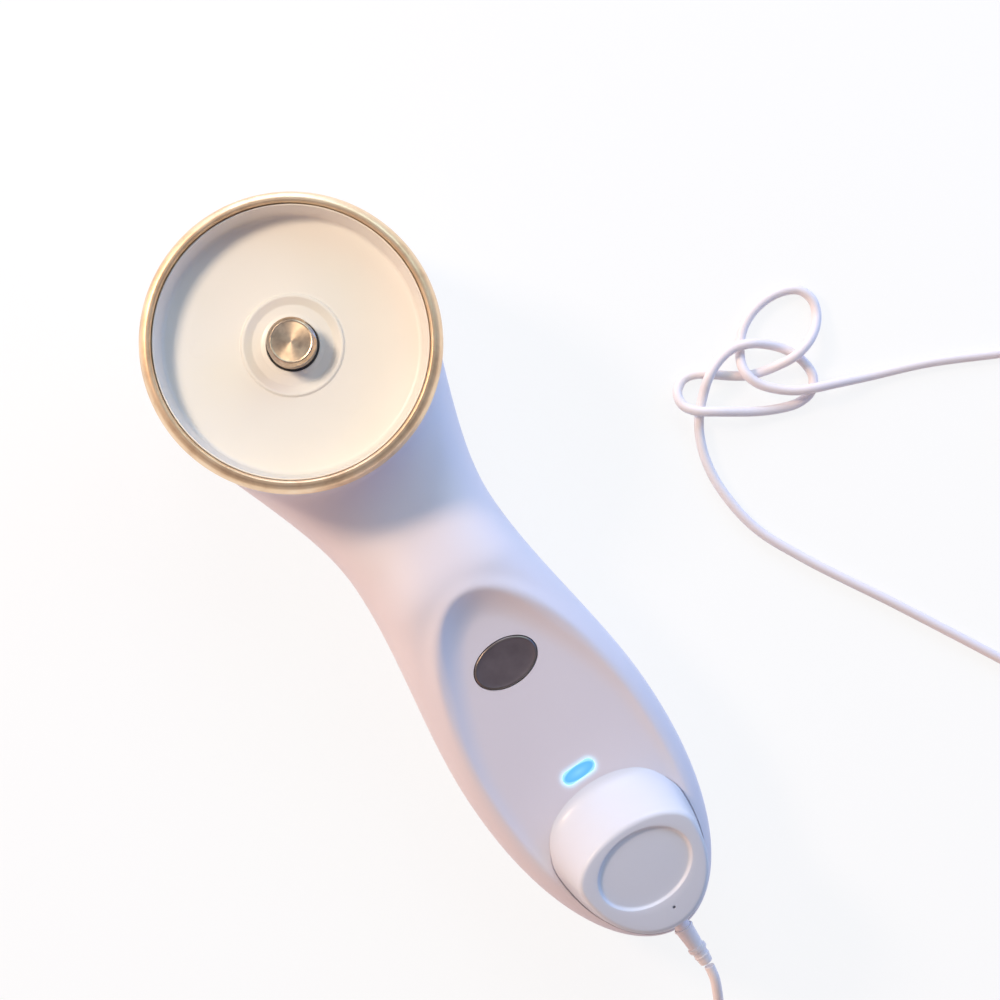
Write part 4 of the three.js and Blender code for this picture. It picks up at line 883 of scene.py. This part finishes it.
# Evening out: the blank's steps all over, then the join of neck and drum, below the drum's crisp rim, then
# the dish's edge
BLANK_ROUNDS, JOIN_ROUNDS, DISH_ROUNDS = 6, 70, 2
JOIN_SPREAD, JOIN_START, JOIN_RUN = 4.5, 6, 8
JOIN_TOP, JOIN_FADE, DISH_TOP = 28.9, 1.2, 29.2
outer_blank = body_blank("outer_blank", 0, 96, 56, FINE)
points = read_points(outer_blank.data)
near_join = np.exp(-((np.hypot(points[:, 0], points[:, 1]) - HEAD_RADIUS) / JOIN_SPREAD) ** 2)
near_join *= np.clip((-points[:, 1] - JOIN_START) / JOIN_RUN, 0, 1)
points = relax(outer_blank.data, points, np.full(len(points), 0.5), BLANK_ROUNDS)
near_join *= np.clip((JOIN_TOP - points[:, 2]) / JOIN_FADE, 0, 1)
points = relax(outer_blank.data, points, 0.6 * near_join, JOIN_ROUNDS)
points = carve_dish(points)
points = relax(outer_blank.data, points, 0.5 * np.clip(DISH_TOP - points[:, 2], 0, 1), DISH_ROUNDS)
points[:, 2] = np.maximum(points[:, 2], 0)
write_points(outer_blank.data, points)
inner_blank = body_blank("inner_blank", WALL, 64, 30, COARSE)

front_shell = shell_half("front_shell_skin", outer_blank, inner_blank, PARTING + PARTING_GAP / 2, True)
rear_shell = shell_half("rear_shell_skin", outer_blank, inner_blank, PARTING - PARTING_GAP / 2, False)
for blank in (outer_blank, inner_blank):
    bpy.data.objects.remove(blank)

carve(front_shell, [
    lathe("cup_hole", [(0, 24.6, 0), (25.62, 24.6, 0), (25.62, 40, 0), (0, 40, 0)], sides=160),
    prism("puck_hole", egg_outline(PUCK_FOOT, -GAP), -0.06, 9),
    prism("button_hole", ellipse(BUTTON_HALF[0] + GAP, BUTTON_HALF[1] + GAP, (0, BUTTON_PLACE)), -4, 6),
    prism("light_hole", light_outline(-0.05), -4, 6),
])
carve(front_shell, [
    prism(f"contact_hole_{side}", ellipse(1.85, 1.85, (side * CONTACT_SIDE, CONTACT_PLACE), 32), -4, 6)
    for side in (-1, 1)
])
dress(soften(front_shell, 30), "body", "shell", "front_shell")
dress(soften(rear_shell, 30), "body", "shell", "rear_shell")


# ---------------------------------------------------------------- head

head_ring = lathe("head_ring_bead", [
    (25.9, 30.0, 0), (28.05, 30.0, 0), (28.3, 30.25, 0.25), (28.3, 31.9, 0.9), (27.75, 34.2, 1.2),
    (26.9, 34.83, 0.9), (26.25, 34.83, 0.3), (25.9, 34.45, 0.25), (25.9, 30.0, 0),
], sides=192, steps=6)
dress(soften(head_ring), "body", "ring", "head_ring")

head_cup = lathe("head_cup_liner", [
    (5.0, 20.5, 0), (6.7, 20.5, 0), (6.7, 25.4, 0), (25.5, 25.4, 0), (25.74, 33.7, 0.1),
    (25.46, 33.7, 0.12), (24.5, 27.0, 0.9), (9.9, 27.0, 0.3), (9.55, 27.45, 0.2), (9.15, 27.45, 0.25),
    (7.7, 26.7, 0.8), (6.0, 26.75, 0.4), (5.0, 27.0, 0.15), (5.0, 20.5, 0),
], sides=192, steps=5)
dress(soften(head_cup), "body", "cup", "head_cup")

SHAFT_RADIUS, FLAT_REACH, FLAT_START = 4.65, 4.15, 30.9


def drive_shaft():
    """The output shaft: a stepped head with a groove, a chamfer and a drive flat, on its stem."""
    rings = []
    for radius, height in rounded([
        (2.5, 4.1, 0), (2.5, 27.45, 0), (4.35, 27.45, 0.1), (SHAFT_RADIUS, 27.75, 0.15),
        (SHAFT_RADIUS, 30.1, 0.1), (4.2, 30.35, 0.1), (4.2, 30.75, 0.1), (SHAFT_RADIUS, 31.0, 0.12),
        (SHAFT_RADIUS, 33.5, 0.15), (4.1, 34.2, 0.15), (3.9, 34.3, 0.08), (3.68, 34.22, 0.08),
        (0.4, 34.18, 0),
    ], 3):
        ring = []
        for angle in around(96):
            near = math.cos(angle)
            cut = min(radius, FLAT_REACH / near) if near > 0 and height > FLAT_START else radius
            ring.append((cut * near, cut * math.sin(angle), height))
        rings.append(ring)
    return loft("output_shaft_turned", rings)


output_shaft = soften(drive_shaft(), 28)
dress(output_shaft, "output", "steel", "output_shaft", finish=turned_steel())


# ---------------------------------------------------------------- button and light

RIM_INSET, RIM_FOOT = 0.4, 0.02
button_cap = pillow("button_cap_oval", button_outline, [
    (0.05, -0.9), (0, -0.85), (0, -0.04), (0.04, 0.06), (0.12, 0.13), (0.26, 0.18), (0.36, 0.2), (0.44, 0.19),
    (0.54, 0.15), (0.7, 0.12), (1.2, 0.08), (2.2, 0.04), (3.4, 0.01), (4.3, 0.0),
])
stem = lathe("button_stem", [(0, -3.1, 0), (1.5, -3.1, 0), (1.5, -0.88, 0), (0, -0.88, 0)], sides=32,
             matrix=DISH @ Matrix.Translation((0, -BUTTON_PLACE, 0)))
button_cap = merged("button_cap_oval", [button_cap, stem])
for finish in (button_dark, button_rim_highlight):
    button_cap.data.materials.append(finish)
for face in button_cap.data.polygons:
    spot = face.center / MM
    local = DISH.inverted() @ Vector((spot.x, spot.y - HEAD_Y, spot.z))
    size = math.hypot(
        local.x / (BUTTON_HALF[0] - RIM_INSET), (local.y + BUTTON_PLACE) / (BUTTON_HALF[1] - RIM_INSET),
    )
    # The cap's outer band above its foot takes the rim's lighter metal: a painted highlight on the chamfer.
    face.material_index = int(size > 1 and local.z > RIM_FOOT)
dress(soften(button_cap, 40), "button", "button", "button_cap")

light_lens = pillow("light_lens", light_outline, [
    (0, -5.0), (0, -0.1), (0.06, 0.0), (0.2, 0.06), (0.5, 0.1), (0.9, 0.12), (1.25, 0.125),
])
dress(soften(light_lens, 50), "body", "light", "light_pipe")


# ---------------------------------------------------------------- charging puck

GROOVE_CENTRE, GROOVE_HALF = 60.3, (9.45, 6.95)
PUCK_SIDES, PUCK_HOLLOW, PUCK_EDGE, EDGE_STEPS = 128, 0.25, 0.85, 8


def egg_at(share):
    """The puck's outline on its way from the foot to the face."""
    return {key: blend(PUCK_FOOT[key], PUCK_FACE[key], share) for key in PUCK_FOOT}


def flared(outline, reach):
    """Carries the head side of a foot outline outwards, most at its middle and not at all at its sides."""
    spread = []
    for x, y in outline:
        forward = (PUCK_FOOT["widest"] - y) / (PUCK_FOOT["widest"] - PUCK_FOOT["front"])
        spread.append((x, y - reach * smoothstep(forward, 0.1, 0.8)))
    return spread


def puck_rings():
    """The upper housing: up its inside, out over its flared foot, up its slightly hollow side, over its
    rounded edge and down into the oval recess of its face."""
    rings = []

    def ring(height, inset, flare=0.0, share=None):
        egg = egg_at(height / PUCK_HEIGHT if share is None else share)
        rings.append(on_dish(flared(egg_outline(egg, inset, PUCK_SIDES), flare), height))

    def hollow(height):
        return PUCK_HOLLOW * math.sin(math.pi * height / PUCK_HEIGHT)

    for height in (10.0, 5.0, 1.4):
        ring(height, 1.5)
    ring(0.1, 1.4, share=0)
    for height, inset, flare in ((0.03, 0.3, 1.8), (0.1, 0.1, 1.75), (0.3, 0.0, 1.2), (0.7, -0.02, 0.7)):
        ring(height, inset, flare)
    for height, flare in ((1.3, 0.35), (2.2, 0.12), (3.2, 0), (4.5, 0), (6, 0), (7.5, 0), (9, 0), (10.4, 0)):
        ring(height, hollow(height), flare)
    for i in range(1, EDGE_STEPS + 1):
        angle = math.pi / 2 * i / EDGE_STEPS
        height = PUCK_HEIGHT - PUCK_EDGE + PUCK_EDGE * math.sin(angle)
        ring(height, hollow(height) + PUCK_EDGE * (1 - math.cos(angle)))

    face = egg_outline(egg_at(1), PUCK_EDGE, PUCK_SIDES)
    across, along = GROOVE_HALF
    oval = [(across * math.sin(angle), along * math.cos(angle)) for angle in around(PUCK_SIDES)]
    recess = [
        (1.045, 0), (1.03, -0.03), (1.015, -0.14), (0.995, -0.36), (0.975, -0.5), (0.95, -0.57),
        (0.92, -0.58), (0.7, -0.53), (0.4, -0.5), (0.12, -0.5),
    ]
    for share, scale, height in [(0.35, 1.045, 0), (0.7, 1.045, 0)] + [(1, *level) for level in recess]:
        rings.append(on_dish([
            (blend(fx, ox * scale, share), blend(fy, GROOVE_CENTRE + oy * scale, share))
            for (fx, fy), (ox, oy) in zip(face, oval)
        ], PUCK_HEIGHT + height))
    return rings


puck_cover = loft("puck_cover_shell", puck_rings())
carve(puck_cover, [
    lathe("pinhole", [(0, 11.2, 0), (0.3, 11.2, 0), (0.3, 13, 0), (0, 13, 0)], sides=32,
          matrix=DISH @ Matrix.Translation((0.5, -69.6, 0))),
])
dress(soften(puck_cover, 40), "charger", "puck", "puck_cover")

puck_base = pillow("puck_base_plate", lambda inset: egg_outline(egg_at(0.05), inset), [
    (2.1, 0.62), (1.95, 0.6), (1.8, 0.66), (1.8, 2.0),
])
carve(puck_base, [
    prism(f"pin_hole_{side}", ellipse(1.1, 1.1, (side * CONTACT_SIDE, CONTACT_PLACE), 32), -1, 4)
    for side in (-1, 1)
])
dress(soften(puck_base, 40), "charger", "puck", "puck_base")

RELIEF_START, RELIEF_HEIGHT = 76.23, 4.5
RELIEF = DISH @ Matrix.Translation((0, 0, RELIEF_HEIGHT)) @ Matrix.Rotation(math.pi / 2, 4, "X")
strain_relief = lathe("strain_relief_boot", [(radius, RELIEF_START + place, turn) for radius, place, turn in (
    (0, -4.2, 0), (2.2, -4.2, 0), (2.2, -3.2, 0), (1.5, -3.2, 0), (1.5, 0, 0), (1.9, 0, 0), (2.0, 0.3, 0.12),
    (1.82, 0.55, 0.15), (1.55, 4.5, 0), (1.85, 4.7, 0.12), (1.85, 5.4, 0.2), (1.5, 5.7, 0.12),
    (1.45, 6.5, 0.1), (1.6, 6.7, 0.1), (1.4, 7.2, 0.1), (1.3, 8.5, 0.3), (0, 8.5, 0),
)], sides=64, matrix=RELIEF)
dress(soften(strain_relief, 35), "charger", "lead", "strain_relief")


# ---------------------------------------------------------------- contacts and pins

for side, label in ((-1, "left"), (1, "right")):
    spot = DISH @ Matrix.Translation((side * CONTACT_SIDE, -CONTACT_PLACE, 0))
    contact = lathe(f"charge_contact_{label}_stud", [
        (0, -3.8, 0), (1.6, -3.8, 0.1), (1.6, -2.7, 0), (2.2, -2.7, 0), (2.2, -2.1, 0), (1.6, -2.1, 0),
        (1.6, -0.12, 0.15), (1.2, 0, 0.1), (0, -0.05, 0),
    ], sides=48, matrix=spot)
    dress(soften(contact), "body", "gold", f"charge_contact_{label}")
    pin = lathe(f"spring_pin_{label}_plunger", [
        (0, 0.3, 0), (0.55, 0.36, 0.3), (0.9, 0.9, 0.3), (0.9, 2.3, 0), (1.5, 2.3, 0), (1.5, 6.3, 0),
        (0, 6.3, 0),
    ], sides=40, matrix=spot)
    dress(soften(pin), "charger", "gold", f"spring_pin_{label}")


# ---------------------------------------------------------------- plug and tie

PLUG_HALF, PLUG_THICK, PLUG_CORNER, TONGUE_LIFT = 7.6, 8, 2.2, 0.75
plug_heading = (coil_ends[-1] - coil_ends[-2]).normalized()
plug_turn = math.atan2(plug_heading.y, plug_heading.x) - math.pi / 2
PLUG = Matrix.Translation(coil_ends[-1] + plug_heading * 0.3) @ Matrix.Rotation(plug_turn, 4, "Z")


def along_plug(name, sections):
    """A loft along the plug from (place, outline) sections."""
    return loft(name, [
        [tuple(PLUG @ Vector((x, place, z))) for x, z in outline] for place, outline in sections
    ])


def plug_bar(name, levels, lift=0):
    """A bar along the plug from (place, half width, half height, corner radius) levels."""
    return along_plug(name, [
        (place, [(x, z + lift) for x, z in rounded_box(*box)]) for place, *box in levels
    ])


def plug_slab(name, x, half, low, high, start, end):
    """A straight bar with square corners along the plug."""
    outline = [(x - half, low), (x + half, low), (x + half, high), (x - half, high)]
    return along_plug(name, [(start, outline), (end, outline)])


def overmould():
    """The plug's grip: a stepped sleeve, a shoulder, five grip ribs and a plain end with the mouth."""
    high = PLUG_THICK / 2
    levels = [(place, radius, radius, radius) for place, radius in (
        (0, 1.5), (0.3, 1.65), (1.6, 1.75), (1.9, 1.5), (2.3, 1.5), (2.6, 1.95), (3.6, 2.1), (3.9, 1.8),
        (4.3, 1.8), (4.6, 2.35), (5.6, 2.6),
    )]
    for place, share in ((5.8, 0.45), (6.0, 0.72), (6.5, 0.88), (7.5, 0.97), (9, 1), (10.5, 1)):
        levels.append((place, PLUG_HALF * share, high * max(share, 0.7), PLUG_CORNER * share))
    ends = [(11 + 1.6 * k + step, inset) for k in range(5) for step, inset in (
        (0, 0), (0.25, 0.3), (0.7, 0.3), (0.95, 0))]
    ends += [(20.5, 0), (25.4, 0), (25.9, 0.15), (26.0, 0.5)]
    levels += [(place, PLUG_HALF - inset, high - inset, PLUG_CORNER - inset) for place, inset in ends]
    mouth = plug_bar("mouth", [(21.5, 6.25, 2.5, 0.55), (30, 6.25, 2.5, 0.55)])
    return carve(plug_bar("plug_overmould", levels), [mouth])


def folded_shell():
    """The plug's shell: a folded tube with two windows."""
    shell = plug_bar("plug_shell_folded", [
        (21.8, 6, 2.25, 0.5), (37.9, 6, 2.25, 0.5), (38.3, 5.9, 2.15, 0.4),
    ])
    carve(shell, [plug_bar("hollow", [(21, 5.65, 1.9, 0.25), (40, 5.65, 1.9, 0.25)])])
    return carve(shell, [plug_slab("window", x, 1.1, -4, 4, 31.2, 33.6) for x in (-2.9, 2.9)])


plug_body = dress(soften(overmould(), 40), "body", "lead", "plug_body")
plug_shell = dress(soften(folded_shell(), 30), "body", "steel", "plug_shell")
tongue = plug_bar("plug_tongue_bar", [
    (21.8, 5.3, 0.84, 0.1), (36.9, 5.3, 0.84, 0.1), (37.3, 5.15, 0.7, 0.1),
], TONGUE_LIFT)
plug_tongue = dress(soften(tongue), "body", "nylon", "plug_tongue")
plug_strips = dress(merged("plug_contact_strips", [
    plug_slab("strip", x, 0.5, -0.2, -0.02, start, 36.5)
    for x, start in ((-3.5, 29.5), (-1.0, 28.5), (1.0, 28.5), (3.5, 29.5))
]), "body", "gold")


def tie_band():
    """A flat silicone band round the coil's turns."""
    reach = COIL_PITCH * COIL_TURNS / 4 + LEAD_RADIUS + 0.5
    high = (COIL_PITCH + 2 * LEAD_RADIUS) / 2 + 0.15
    middle = LEAD_RADIUS + COIL_LIFT + COIL_PITCH / 2
    turn = Matrix.Translation((*COIL_CENTRE, 0)) @ Matrix.Rotation(TIE_ANGLE, 4, "Z")
    turn = turn @ Matrix.Translation((COIL_MEAN_RADIUS, 0, middle))
    inner = rounded_box(reach, high, 0.8, 64)
    outer = rounded_box(reach + 0.4, high + 0.4, 1.2, 64)
    bevelled = [(x * 0.97, z * 0.97) for x, z in outer]
    return loft("coil_tie_band", [
        [tuple(turn @ Vector((x, side, z))) for x, z in outline] for outline, side in (
            (inner, -2.9), (bevelled, -2.9), (outer, -2.75), (outer, 2.75), (bevelled, 2.9), (inner, 2.9))
    ], looped=True)


coil_tie = dress(soften(tie_band(), 40), "body", "rubber", "coil_tie")


# ---------------------------------------------------------------- floor, lights and world

FLOOR_HALF, FLOOR_DROP = 4, 5e-5
floor_mesh = bpy.data.meshes.new("floor")
floor_mesh.from_pydata([
    (x * FLOOR_HALF, y * FLOOR_HALF, -FLOOR_DROP) for x, y in ((-1, -1), (1, -1), (1, 1), (-1, 1))
], [], [(0, 1, 2, 3)])
floor = placed("floor", floor_mesh)
# White paint, matt: it reads as an even bright white to the eye and takes only soft shadows
floor_paint, tree = material("white_floor")
rays = add(tree, "LightPath")
seen = add(tree, "Math", {"operation": "ADD", "use_clamp": True}, {
    0: (rays, "Is Camera Ray"), 1: (rays, "Is Glossy Ray")})
seen_all = add(tree, "Math", {"operation": "ADD", "use_clamp": True}, {
    0: (seen, "Value"), 1: (rays, "Is Transmission Ray")})
share = add(tree, "Math", {"operation": "MULTIPLY", 1: 0.8}, {0: (seen_all, "Value")})
matt = add(tree, "BsdfDiffuse", {"Color": linear("#E6E6E8")})
bright = add(tree, "Emission", {"Color": (1, 1, 1, 1), "Strength": 1.06})
mix = add(tree, "MixShader", None, {"Fac": (share, "Value"), 1: (matt, 0), 2: (bright, 0)})
close(tree, mix)
floor.data.materials.append(floor_paint)

# The room: dimmer overhead than at its walls, warm on the left and cool on the right, and brightest on
# the side of the window
world = bpy.data.worlds.new("studio")
scene.world = world
world.use_nodes = True
tree = world.node_tree
tree.nodes.clear()
place = add(tree, "TexCoord")
split = add(tree, "SeparateXYZ", None, {"Vector": (place, "Generated")})
dome = add(tree, "ValToRGB", None, {"Fac": (split, "Z")}, [
    (0.0, "#F8F2F0"), (0.12, "#C8C9D2"), (0.45, "#969BA4")])
window_side = add(tree, "MapRange", {
    "From Min": -1.0, "From Max": 1.0, "To Min": 0.76, "To Max": 1.28,
}, {"Value": (split, "Y")})
to_right = add(tree, "MapRange", {"From Min": -1.0}, {"Value": (split, "X")})
walls = add(tree, "ValToRGB", None, {"Fac": (to_right, "Result")}, [(0.0, "#FFEADD"), (1.0, "#F0F4FF")])
tinted = add(tree, "VectorMath", {"operation": "MULTIPLY"}, {0: (dome, "Color"), 1: (walls, "Color")})
soft_light = add(tree, "Background", None, {"Color": (tinted, "Vector"), "Strength": (window_side, "Result")})
add(tree, "OutputWorld", None, {"Surface": (soft_light, 0)})

LAMP_AIM = Vector((0, 0, 0.02))


def lit_group(name, state, *pieces):
    """Pieces that a lamp lights alone (INCLUDE) or leaves out (EXCLUDE)."""
    group = bpy.data.collections.new(name)
    for obj in pieces:
        group.objects.link(obj)
    for member in group.collection_objects:
        member.light_linking.link_state = state
    return group


def lamp(name, heading, rise, distance, size, power, colour, group=None):
    """A soft square lamp that looks at the middle of the device, from a heading and a rise in degrees."""
    data = bpy.data.lights.new(name, "AREA")
    data.energy = power
    data.size = size
    data.color = linear(colour)[:3]
    obj = placed(name, data)
    angle = math.radians(rise)
    way = Vector((*heading, 0)).normalized() * math.cos(angle) + Vector((0, 0, math.sin(angle)))
    obj.location = LAMP_AIM + way * distance
    obj.rotation_euler = (-way).to_track_quat("-Z", "Y").to_euler()
    obj.light_linking.receiver_collection = group


# The photograph's shadows fall from higher up inside the cup than outside it, so the main lamp is two; the
# low side lamps leave out the ring, which would mirror them as streaks
in_cup = lit_group("lit_in_cup", "INCLUDE", head_cup, output_shaft)
past_cup = lit_group("lit_past_cup", "EXCLUDE", head_cup, output_shaft)
past_ring = lit_group("lit_past_ring", "EXCLUDE", head_ring)
lamp("cup_key", (-0.39, 0.92), 53, 0.7, 0.13, 3.36, "#FFEBD0", in_cup)
lamp("key", (-0.47, 0.88), 33, 0.7, 0.13, 2.9, "#FCD9B9", past_cup)
lamp("sky_low", (0.35, 0.93), 20, 0.7, 0.35, 2.05, "#E0E6FF", past_cup)
lamp("sky_side", (1.0, -0.1), 18, 0.6, 0.35, 1.0, "#0089FF", past_ring)
lamp("sky_high", (0.85, 0.5), 40, 0.7, 0.35, 0.85, "#D5FDFF")
lamp("wall_bounce", (-0.97, -0.25), 14, 0.7, 0.35, 0.85, "#FFB08C", past_ring)

scene.view_settings.view_transform = "Standard"
